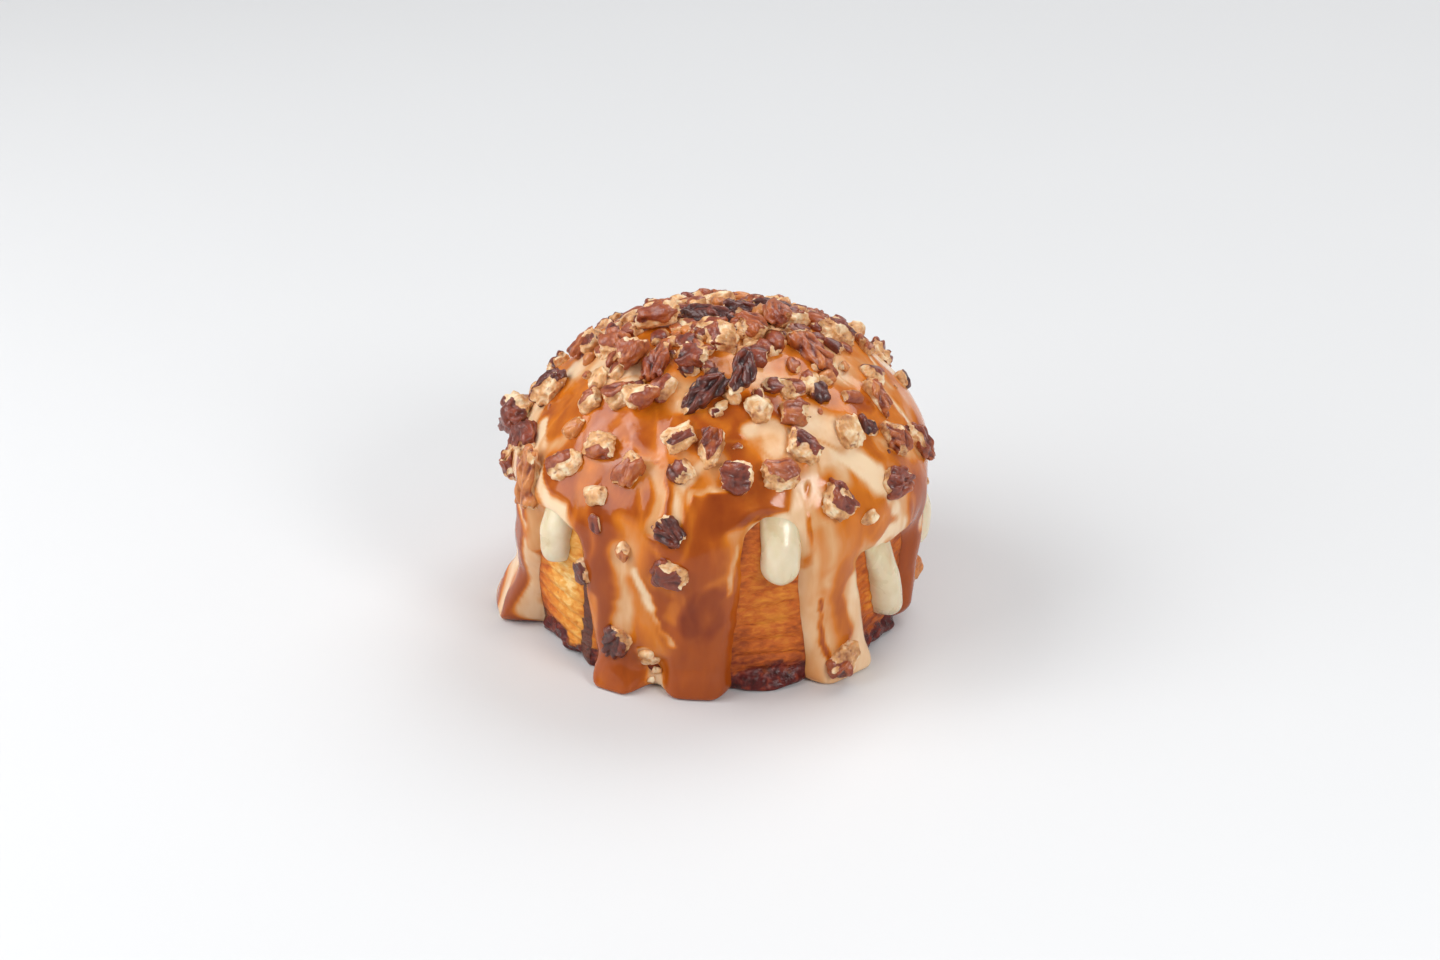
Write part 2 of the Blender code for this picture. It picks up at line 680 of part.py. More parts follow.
def main():
    for obj in list(bpy.data.objects):
        remove(obj)

    bun = dome("bun", bun_offset)
    thin_out(bun, BUN_TRIANGLES)
    rest_on_foot(bun)
    bun_grown = grown(bun, FROM_BUN)

    coat = dome("icing_coat", coat_offset)
    thin_out(coat, COAT_TRIANGLES)
    rest_on_foot(coat)
    coat_grown = grown(coat, FROM_COAT)
    surfaces = (surface_of(bun), surface_of(coat))

    filling = rolled_sheet("cinnamon_filling", FILLING_THICKNESS)
    slot = rolled_sheet("slot", FILLING_THICKNESS + 2 * GAP, SLOT_PAST_ENDS)
    boolean(filling, bun, "INTERSECT")
    boolean(bun, slot, "DIFFERENCE")
    keep_largest(filling)
    keep_largest(bun)
    remove(slot)

    tongues = []
    for number, sizes in enumerate(TONGUES, 1):
        drip = tongue(f"cream_tongue_{number}", *sizes)
        boolean(drip, bun_grown, "DIFFERENCE")
        boolean(drip, coat_grown, "DIFFERENCE")
        keep_largest(drip)
        tongues.append(drip)

    draw = random.Random(SEED)
    layout = list(PIECES)
    for rule in (BACK_PIECES, BACK_BITS, CROWN_BITS, FRONT_BITS):
        layout += scattered(rule, layout, draw)
    layout.sort(key=lambda piece: piece[2] <= BERRY / MM)

    pecans = []
    bits = []
    placed = [surface_of(drip) for drip in tongues]
    for azimuth, drop, length, width, turn, kind in layout:
        frame = resting_frame(surfaces, azimuth, drop, turn)
        is_node = length * MM > BERRY
        name = f"pecan_{len(pecans) + 1:02d}" if is_node else f"bit_{len(bits) + 1:02d}"
        piece = pecan(name, kind, length * MM, width * MM, frame, draw)
        if is_node:
            thin_out(piece, NUT_TRIANGLES)
        if not settle(piece, frame.col[2].to_3d(), placed):
            remove(piece)
            continue
        if is_node:
            flatten_under(piece, frame, surfaces)
        placed.append(surface_of(piece))
        (pecans if is_node else bits).append(piece)

    crumbs = bpy.data.collections.new("small pecan bits")
    bpy.context.scene.collection.children.link(crumbs)
    for bit in bits:
        bpy.context.scene.collection.objects.unlink(bit)
        crumbs.objects.link(bit)
    union = coat.modifiers.new("Union", "BOOLEAN")
    union.operation = "UNION"
    union.operand_type = "COLLECTION"
    union.collection = crumbs
    apply_modifiers(coat)
    boolean(coat, bun_grown, "DIFFERENCE")
    keep_largest(coat)
    for bit in bits:
        remove(bit)
    bpy.data.collections.remove(crumbs)
    remove(bun_grown)
    remove(coat_grown)

    bun.data.materials.append(material("baked dough", "c98545", 0.65))
    filling.data.materials.append(material("cinnamon filling", "4a2616", 0.5))
    coat.data.materials.append(material("caramel icing", "c97b36", 0.2))
    for drip in tongues:
        drip.data.materials.append(material("plain cream", "ece3cb", 0.35))
    nut = material("pecan", "7e4426", 0.5)
    for piece in pecans:
        piece.data.materials.append(nut)
    for obj in bpy.context.scene.objects:
        obj.data.shade_smooth()
        obj.data.set_sharp_from_angle(angle=SHARP_ANGLE)


main()
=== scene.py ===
"""Looks of the sticky bun: baked dough, cinnamon filling, marbled icing, cream tongues, pecans and crumbs.

Metres throughout, +Z up, the front faces -Y. An azimuth is in degrees round +Z from the front, positive
towards +X. A drop is in degrees down from +Z, seen from the middle of the bun's waist.
"""

import json
import math
import random

import bpy
import numpy as np
from mathutils import Matrix, Vector, noise
from mathutils.bvhtree import BVHTree

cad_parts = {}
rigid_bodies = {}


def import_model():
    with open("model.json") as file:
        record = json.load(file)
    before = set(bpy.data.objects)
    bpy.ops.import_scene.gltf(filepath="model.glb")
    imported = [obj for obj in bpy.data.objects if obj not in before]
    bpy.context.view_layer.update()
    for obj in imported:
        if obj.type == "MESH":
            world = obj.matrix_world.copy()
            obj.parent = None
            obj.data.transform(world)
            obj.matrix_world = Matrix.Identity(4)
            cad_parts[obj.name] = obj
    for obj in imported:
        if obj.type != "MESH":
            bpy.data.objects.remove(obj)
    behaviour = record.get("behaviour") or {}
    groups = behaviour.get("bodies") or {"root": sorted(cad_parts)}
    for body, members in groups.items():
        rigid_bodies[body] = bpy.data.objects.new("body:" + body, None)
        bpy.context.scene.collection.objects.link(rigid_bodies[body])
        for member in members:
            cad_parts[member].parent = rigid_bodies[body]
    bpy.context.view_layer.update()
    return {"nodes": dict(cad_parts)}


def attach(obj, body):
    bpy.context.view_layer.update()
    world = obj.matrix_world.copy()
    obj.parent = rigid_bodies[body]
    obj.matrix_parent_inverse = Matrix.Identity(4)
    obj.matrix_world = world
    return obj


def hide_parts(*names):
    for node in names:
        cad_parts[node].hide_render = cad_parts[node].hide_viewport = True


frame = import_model()

bl_info = {
    "name": "Sticky Bun",
    "version": (1, 0, 0),
    "blender": (4, 5, 0),
    "location": "View3D > Sidebar > Sticky Bun",
    "description": "Bakes, ices and tops a sticky bun round its CAD model",
    "category": "Add Mesh",
}

MM = 0.001
BODY = "root"

# The bun's own sizes, the same as in its CAD model
FOOT_RADIUS = 49.4 * MM
WAIST_RADIUS = 53.6 * MM
WAIST_HEIGHT = 40.0 * MM
DOUGH_HEIGHT = 79.3 * MM
SIDE_BEND = 1.45
FOOT_ROUNDING = 1.6 * MM
FOOT_ROUNDING_HEIGHT = 3.0 * MM
BUN_LUMP = 1.4 * MM
BUN_LUMP_SPAN = 36.0 * MM
LAYER_STEP = 5.2 * MM
LAYER_DEPTH = 1.0 * MM
LAYER_WANDER = 3.0 * MM
LIP_STEP = 1.5 * MM
LIP_FADE = 16.0
RIM_HEIGHT = 7.0 * MM
RIM_LUMP = 2.6 * MM
RIM_LUMP_SPAN = 5.0 * MM
RIM_SWELL = 0.45
RELIEF_FADE = (-3.5 * MM, 0.5 * MM)
FILLING_THICKNESS = 1.8 * MM
SEAM_AZIMUTH = -34.0
SEAM_SWEEP = 42.0
SEAM_RADIUS = 57.0 * MM
ROLL_RADIUS = 41.0 * MM
ROLL_PITCH = 14.0 * MM
ROLL_START = -20.0
ROLL_SWEEP = 380.0
ROLL_STEP = 10.0
SHEET_FOOT = -5.0 * MM
SHEET_TOP = 95.0 * MM
SLOT_CLEARANCE = 0.1 * MM
COAT_THICKNESS = 2.9 * MM
EDGE_BEAD = 3.6 * MM
EDGE_DIP = 4.0 * MM
COAT_BLEND = 7.0 * MM
POOL_HEIGHT = 9.0 * MM
POOL_FALL = 1.4
CORNER_HEIGHT = 4.5 * MM
CORNER_ROUNDING = 2.4 * MM
POOL_WIDENING = 0.4
POOL_SHOULDER = (-0.5 * MM, 5.0 * MM)
POOL_ROUNDING = 1.6 * MM
SWELL_HEIGHT = 12.0 * MM
SWELL_SHOULDER = 2.0 * MM
COAT_LUMP = 0.9 * MM
COAT_LUMP_SPAN = 12.0 * MM
LOBE_AZIMUTH = -51.0
LOBE_HEIGHT = 51.0 * MM
LOBE_SPAN = 9.0 * MM
LOBE_SWELL = 1.8 * MM

# Lower edge of the coat between its runs: azimuth in degrees, height in millimetres
COAT_EDGE = (
    (-180, 41), (-148, 46), (-112, 37), (-88, 40), (-52, 43), (-18, 38), (12, 51),
    (34, 40), (50, 34), (66, 34), (89, 29), (128, 38), (156, 47), (180, 41),
)


class Run:
    """A run of icing: a band down the side with a rounded end, or a foot that pools where it lands."""

    def __init__(self, top, bottom, top_width, bottom_width, end, pool=0.0, swell=0.0, rise=0.0):
        self.top = top  # azimuth at the waist
        self.bottom = bottom  # azimuth at the lower end
        self.top_width = top_width * MM
        self.bottom_width = bottom_width * MM
        self.end = end * MM  # height of the lower end, under the foot for a run that lands
        self.pool = pool * MM  # how far the foot spreads out
        self.swell = swell * MM  # extra thickness at the lower end
        self.rise = rise * MM or POOL_HEIGHT  # height at which the foot starts to spread


RUNS = (
    Run(-32, -30, 16, 14, -9, pool=6.2),
    Run(-18, -20, 18, 12, 11),
    Run(-5, -7.5, 20, 18, -9, pool=3.0),
    Run(31, 40, 17, 23, -10, pool=3.0),
    Run(72, 76, 12, 9, 1, swell=0.8),
    Run(-67, -88, 15, 21, -10, pool=9.4, rise=19),
    Run(116, 112, 15, 11, 17, swell=1.1),
    Run(150, 153, 18, 16, -9, pool=4.0),
    Run(-170, -172, 16, 12, 21, swell=1.1),
    Run(-128, -131, 19, 17, -9, pool=3.6),
)

# Tongues of plain cream: azimuth at the top and at the tip, height of the top and of the tip in
# millimetres, width and thickness in millimetres
TONGUES = (
    (-50.0, -51.0, 52, 30.5, 9.4, 5.4),
    (17.0, 16.4, 57, 34.0, 10.3, 5.0),
    (47.5, 59.5, 40, 10.0, 9.4, 5.0),
    (88.0, 88.5, 38, 17.5, 8.6, 4.6),
    (-150.0, -148.0, 52, 32.0, 9.2, 4.6),
)
TONGUE_ROOT = 0.4
TONGUE_FILLING = (0.0, 0.6)
TONGUE_FULLNESS = 0.6

# Grids that the balls are rolled up from: columns, rings, and how many of the rings lie on the crown
DOUGH_GRID = (420, 150, 40)
ICING_GRID = (488, 164, 84)
RESTING_GRID = (180, 96, 50)
FOOT_RINGS = 3  # rings of each that lie on the flat foot
TONGUE_GRID = (80, 64)

# Fine relief of the bare dough, which only the looks have. A wander is a span and an amount.
FLAKE_WANDER = (12 * MM, 3 * MM)
FLAKE_SPAN = 5 * MM
FLAKE_START = (0, 3 * MM)  # heights between which the flakes set in
TEAR_SPAN = 12 * MM
PIT_SPAN = 2.4 * MM
PIT_SHARE = 0.30  # the lower it is, the more pits open
SUGAR_SPAN = 1.9 * MM
SUGAR_START = (0, 2 * MM)
SUGAR_END = (4 * MM, 9 * MM)
TONGUE_CALM = 0.6  # part of the dough's layers that is smoothed away under a tongue
TONGUE_CALM_EDGE = (-2.5 * MM, -0.8 * MM)  # how far off a tongue that starts, and where it is full

# Colouring of the bare dough: its golden window, its burnt foot, its shade below the icing, and painted shade
# towards the foot
GOLDEN_AZIMUTH = -46
GOLDEN_SPREAD = 14
GOLDEN_SPAN = 9 * MM
SCORCH_END = (4 * MM, 8.5 * MM)
SCORCH_WAVER = 4 * MM
SCORCH_SPAN = 6 * MM
SHADE_EDGE = (-7 * MM, 1 * MM)
# Heights between which painted shade darkens the dough towards its foot
LOW_SHADE_END = (6 * MM, 24 * MM)

# Marbling of the icing: where no stroke is painted, in its thin veins, and how far the strokes wander
MARBLE_STRETCH = 0.45
MARBLE_DEPTH = 0.42
MARBLE_REACH = 0.55
MARBLE_SPAN = 11 * MM
VEIN_WANDER = (9 * MM, 3 * MM)
VEIN_SPAN = 13 * MM
VEIN_WIDTH = 0.045
VEIN_START = (-14 * MM, 4 * MM)  # heights over the waist between which the veins set in
VEIN_DEPTH = 0.45
VEIN_SHARE = 0.6
STROKE_WANDERS = ((8 * MM, 1.6 * MM, (2, 6, 3)), (2.6 * MM, 0.5 * MM, (4, 4, 9)))
DEEPEST = 1.05

# Relief of the icing, which only the looks have
EDGE_WAVER = 0.4 * MM
EDGE_WAVER_SPAN = 4 * MM
RELIEF_START = (0.2 * MM, 4 * MM)  # how far inside the coat's edge its relief sets in
LANDING = (0, 6 * MM)  # heights between which it sets in over the foot
SYRUP_EDGE = (0.25, 0.75)  # depths of caramel between which its step lies
FOLD_STRETCH = 0.5
FOLD_WANDER = (16 * MM, 5 * MM)
FOLD_SPAN = 8 * MM
RIDGE_STRETCH = 0.6
RIDGE_SPAN = 12 * MM
RIPPLE_SPAN = 3.4 * MM
BULGE_SHOULDER = (0, 7 * MM)
BULGE_SINK = 0.4  # how much of the bulge a run's edges lie under it
BULGE_END = (34 * MM, 52 * MM)
CREAM_LUMP = 0.25 * MM
CREAM_LUMP_SPAN = 5 * MM
# Painted shade: a tongue's root darkens under the coat, between these parts of its length
CREAM_SHADE = (0.45, 1.0)  # parts of a tongue's length between which its root darkens

# Dough that the icing and the tongues are cut by: a little fat, and longer below the foot
CORE_GROWTH = 0.08 * MM
CORE_FOOT = 0.2 * MM
CORE_DROP = 3 * MM

# Pecan pieces: azimuth, drop, length and width in millimetres, turn from level, shape, skin
PIECES = (
    (-8, 39, 17.0, 7.5, 48, "half", "dark"),
    (72, 33, 18.0, 8.0, 60, "half", "rimmed"),
    (-62, 81, 16.5, 8.0, -78, "half", "orange"),
    (12, 34, 14.0, 6.5, 67, "half", "dark"),
    (-125, 8, 15.0, 8.5, -75, "half", "dark"),
    (-42, 32, 13.5, 7.0, -62, "half", "brown"),
    (140, 29, 13.0, 6.5, 40, "half", "dark"),
    (72, 57, 12.0, 6.0, 72, "half", "rimmed"),
    (-94, 22, 13.5, 7.5, -86, "lobe", "tan"),
    (-138, 30, 12.0, 7.0, -10, "chunk", "tan"),
    (160, 18, 9.0, 7.0, 20, "half", "dark"),
    (60, 12, 11.0, 9.0, 85, "chunk", "red"),
    (90, 18, 12.0, 6.5, 10, "lobe", "red"),
    (113, 28, 13.0, 8.0, -75, "half", "tan"),
    (100, 42, 13.0, 9.0, -75, "chunk", "mixed"),
    (39, 41, 11.0, 6.5, -15, "lobe", "tan"),
    (47, 60, 9.5, 6.5, 90, "chunk", "pale"),
    (64, 69, 11.5, 7.0, -65, "half", "red"),
    (78, 76, 13.0, 7.0, -70, "half", "brown"),
    (28, 60, 10.5, 7.5, -50, "chunk", "mixed"),
    (18, 66, 10.0, 8.5, -10, "chunk", "red"),
    (5, 65, 9.0, 8.5, 0, "chunk", "mixed"),
    (-3, 57, 11.0, 6.5, 73, "half", "tan"),
    (-14, 55, 9.0, 8.0, 39, "chunk", "mixed"),
    (33, 76, 11.0, 8.5, -60, "chunk", "mixed"),
    (56, 78, 12.0, 8.0, -20, "half", "brown"),
    (-91, 74, 14.0, 11.5, 30, "lobe", "mixed"),
    (-74, 74, 10.5, 8.0, -30, "chunk", "mixed"),
    (-94, 90, 15.0, 11.0, 80, "chunk", "brown"),
    (-50, 70, 11.5, 8.0, 40, "lobe", "tan"),
    (-41, 62, 10.0, 7.5, 10, "chunk", "tan"),
    (-28, 66, 10.0, 7.5, 76, "chunk", "red"),
    (-83, 59, 12.0, 9.0, 75, "lobe", "dark"),
    (-46, 47, 10.0, 7.5, 35, "chunk", "red"),
    (-32, 45, 10.5, 7.0, 35, "lobe", "tan"),
    (-78, 36, 11.0, 9.0, 30, "lobe", "red"),
    (-57, 35, 10.0, 8.0, -60, "lobe", "red"),
    (-20, 26, 9.0, 8.0, 10, "chunk", "mixed"),
    (2, 15, 9.0, 9.0, 0, "chunk", "tan"),
    (-12, 91, 10.5, 8.0, -5, "lobe", "mixed"),
    (-29, 115, 12.0, 8.0, 60, "half", "dark"),
    (-13, 80, 9.5, 6.5, -35, "half", "dark"),
    (36, 121, 11.5, 8.5, 60, "lobe", "tan"),
    (86, 120, 11.0, 9.0, 80, "lobe", "orange"),
    (-21, 37, 7.2, 7.0, 0, "chunk", "orange"),
    (-57, 53, 7.6, 6.5, 60, "chunk", "tan"),
    (37, 33, 7.6, 6.5, -20, "chunk", "red"),
    (31, 49, 8.2, 7.0, -15, "chunk", "red"),
    (17, 46, 8.2, 7.5, -10, "chunk", "pale"),
    (26, 24, 8.0, 7.0, -20, "chunk", "mixed"),
    (-11, 64, 7.2, 6.4, -40, "chunk", "mixed"),
    (-98, 38, 8.0, 6.0, -30, "chunk", "mixed"),
    (56, 61, 7.4, 4.8, 85, "half", "dark"),
    (-55, 61, 7.0, 4.8, 80, "lobe", "orange"),
    (-36, 75, 7.0, 5.5, 20, "chunk", "pale"),
    (-38, 97, 7.4, 5.4, -60, "chunk", "dark"),
)
BACK_PIECES = (8, (106, 262), (38, 100), (9.0, 14.0))
BACK_BITS = (15, (100, 262), (34, 100), (6.0, 8.4))
CROWN_BITS = (24, (-180, 180), (4, 54), (6.4, 8.5))
FRONT_BITS = (3, (-60, 66), (56, 88), (4.6, 6.0))
SPACING = 0.42
SCATTER_WIDTHS = (0.6, 0.85)
SCATTER_SHAPES = ("half", "chunk", "lobe", "chunk")
SCATTER_TRIES = 60
SEED = 7
NODE_LENGTH = 8.6  # pieces longer than this are nodes of the CAD model
NUT_SINK = 0.30
NUT_HEIGHT = (0.62, 0.80)
NUT_SQUARENESS = 0.8
NUT_LUMP = 0.30
NUT_LUMP_SPAN = 4.2 * MM
NUT_DRAW_SPAN = 50.0
GROOVE_DEPTH = 0.42
GROOVE_WIDTH = 0.34
LOBE_TAPER = 0.32
LOBE_LEAN = 0.25
BREAK_PLACE = (0.30, 0.42)
BREAK_SLANT = (-0.5, 0.5)

# Finer form of the pecans, which only the looks have
KNUCKLE = 0.16  # lumps within a piece, as a part of its size
KNUCKLE_SPAN = 2.1 * MM
BREAK_TEAR = 0.9 * MM  # unevenness of a broken face
BREAK_TEAR_SPAN = 1.5 * MM
CHIPS = 2  # corners broken off each piece
CHIP_PLACE = (0.62, 0.95)  # how far out a chip's face lies, in parts of the piece's reach that way
BREAK_EDGE = (-0.5 * MM, 0.2 * MM)  # how far round a break its broken flesh sets in
BREAK_LEFT = 0.12  # part of what lay beyond a break that is left standing
CHIP_RISE = (0.3, 1.2)
CHIP_EDGE = (-0.3 * MM, 0.2 * MM)
CHIP_CUT = 0.85
SKIN_THICKNESS = 0.22 * MM  # by which the skin stands over the broken flesh
SKIN_EDGE = (-0.05, 0.05)
SKIN_PATCH_SPAN = 3.2 * MM
SKIN_SPECK_SPAN = 0.9 * MM
HALF_LEAN = 0.5  # how far the skin of a half leans to one side, and that of the other shapes
OTHER_LEAN = (0.7, 2.5)
WRINKLE_WANDER = (3.5 * MM, 0.6 * MM)
CRUMBLE_SPANS = (1.6 * MM, 0.7 * MM)
TONE_SPAN = 4 * MM
FULL_RELIEF_WIDTH = 7 * MM  # pieces narrower than this have less relief
NODE_FACES, BIT_FACES, CRUMB_FACES = 5, 4, 3  # subdivisions of the balls that they are made from
FAR_OUT = 200  # millimetres, well outside the bun
LEAST_BIT = 0.8 * MM  # bits that stand less than this over the CAD's coat have been left out of it
CRUMB_MARGIN = 3 * MM  # how far inside the coat's edge a crumb has to lie

# Small crumbs of pecan that only the looks have: how many, azimuths, drops and lengths in millimetres
CROWN_CRUMBS = (112, (-180, 180), (0, 46), (3.4, 8.4))
SIDE_CRUMBS = (22, (-180, 180), (48, 92), (1.2, 3.0))
CRUMB_SPACING = 0.30

# Crumbs that stick in the notch between the two toes of the front sheet
NOTCH_CRUMBS = (
    (-20.5, 117.5, 4.4, 3.4, 20, "chunk"),
    (-19.0, 120.5, 4.0, 3.2, 70, "chunk"),
    (-21.8, 121.5, 3.0, 2.4, -30, "lobe"),
    (-18.6, 124.0, 3.2, 2.6, 10, "chunk"),
    (-20.4, 126.0, 2.4, 2.0, 50, "lobe"),
)

# Skins of the pecans: how much of a piece its skin covers (about -1 to 1), and how red and light it is
# (0 to 1)
SKINS = {
    "dark": (0.35, 0.1),
    "brown": (0.3, 0.45),
    "red": (0.15, 0.62),
    "orange": (0.4, 0.95),
    "rimmed": (-0.15, 0.7),
    "mixed": (-0.1, 0.3),
    "tan": (-0.5, 0.5),
    "pale": (-1.2, 0.5),
}
SCATTERED_SKINS = ("dark", "mixed", "red", "tan", "mixed", "orange", "brown", "pale")


class Stroke:
    """A stroke of icing on the coat: how deep its caramel is (0 cream, 1 dark), its width, and its route. A
    few pale ones are painted highlights.
    """

    def __init__(self, depth, width, soft, *route):
        self.depth = depth
        self.width = width * MM
        self.soft = soft * MM
        self.route = [direction(*point) * WAIST_RADIUS for point in route]

    def cover(self, ways):
        """How much of each place the stroke covers, from 0 to 1."""
        reach = np.full(len(ways), 1.0)
        for start, end in zip(self.route, self.route[1:]):
            start, leg = np.array(start), np.array(end - start)
            along = np.clip((ways - start) @ leg / (leg @ leg), 0, 1)
            reach = np.minimum(reach, np.linalg.norm(ways - start - along[:, None] * leg, axis=1))
        return 1 - between(self.width / 2 - self.soft / 2, self.width / 2 + self.soft / 2, reach)


def linear(colour):
    """Linear colour of a six-digit sRGB one."""
    channels = [int(colour[start : start + 2], 16) / 255 for start in (0, 2, 4)]
    return [c / 12.92 if c <= 0.04045 else ((c + 0.055) / 1.055) ** 2.4 for c in channels] + [1.0]


def heading(azimuth):
    angle = math.radians(azimuth)
    return Vector((math.sin(angle), -math.cos(angle), 0))


def direction(azimuth, drop):
    """The way out of the bun at an azimuth and a drop."""
    angle = math.radians(drop)
    return heading(azimuth) * math.sin(angle) + Vector((0, 0, math.cos(angle)))


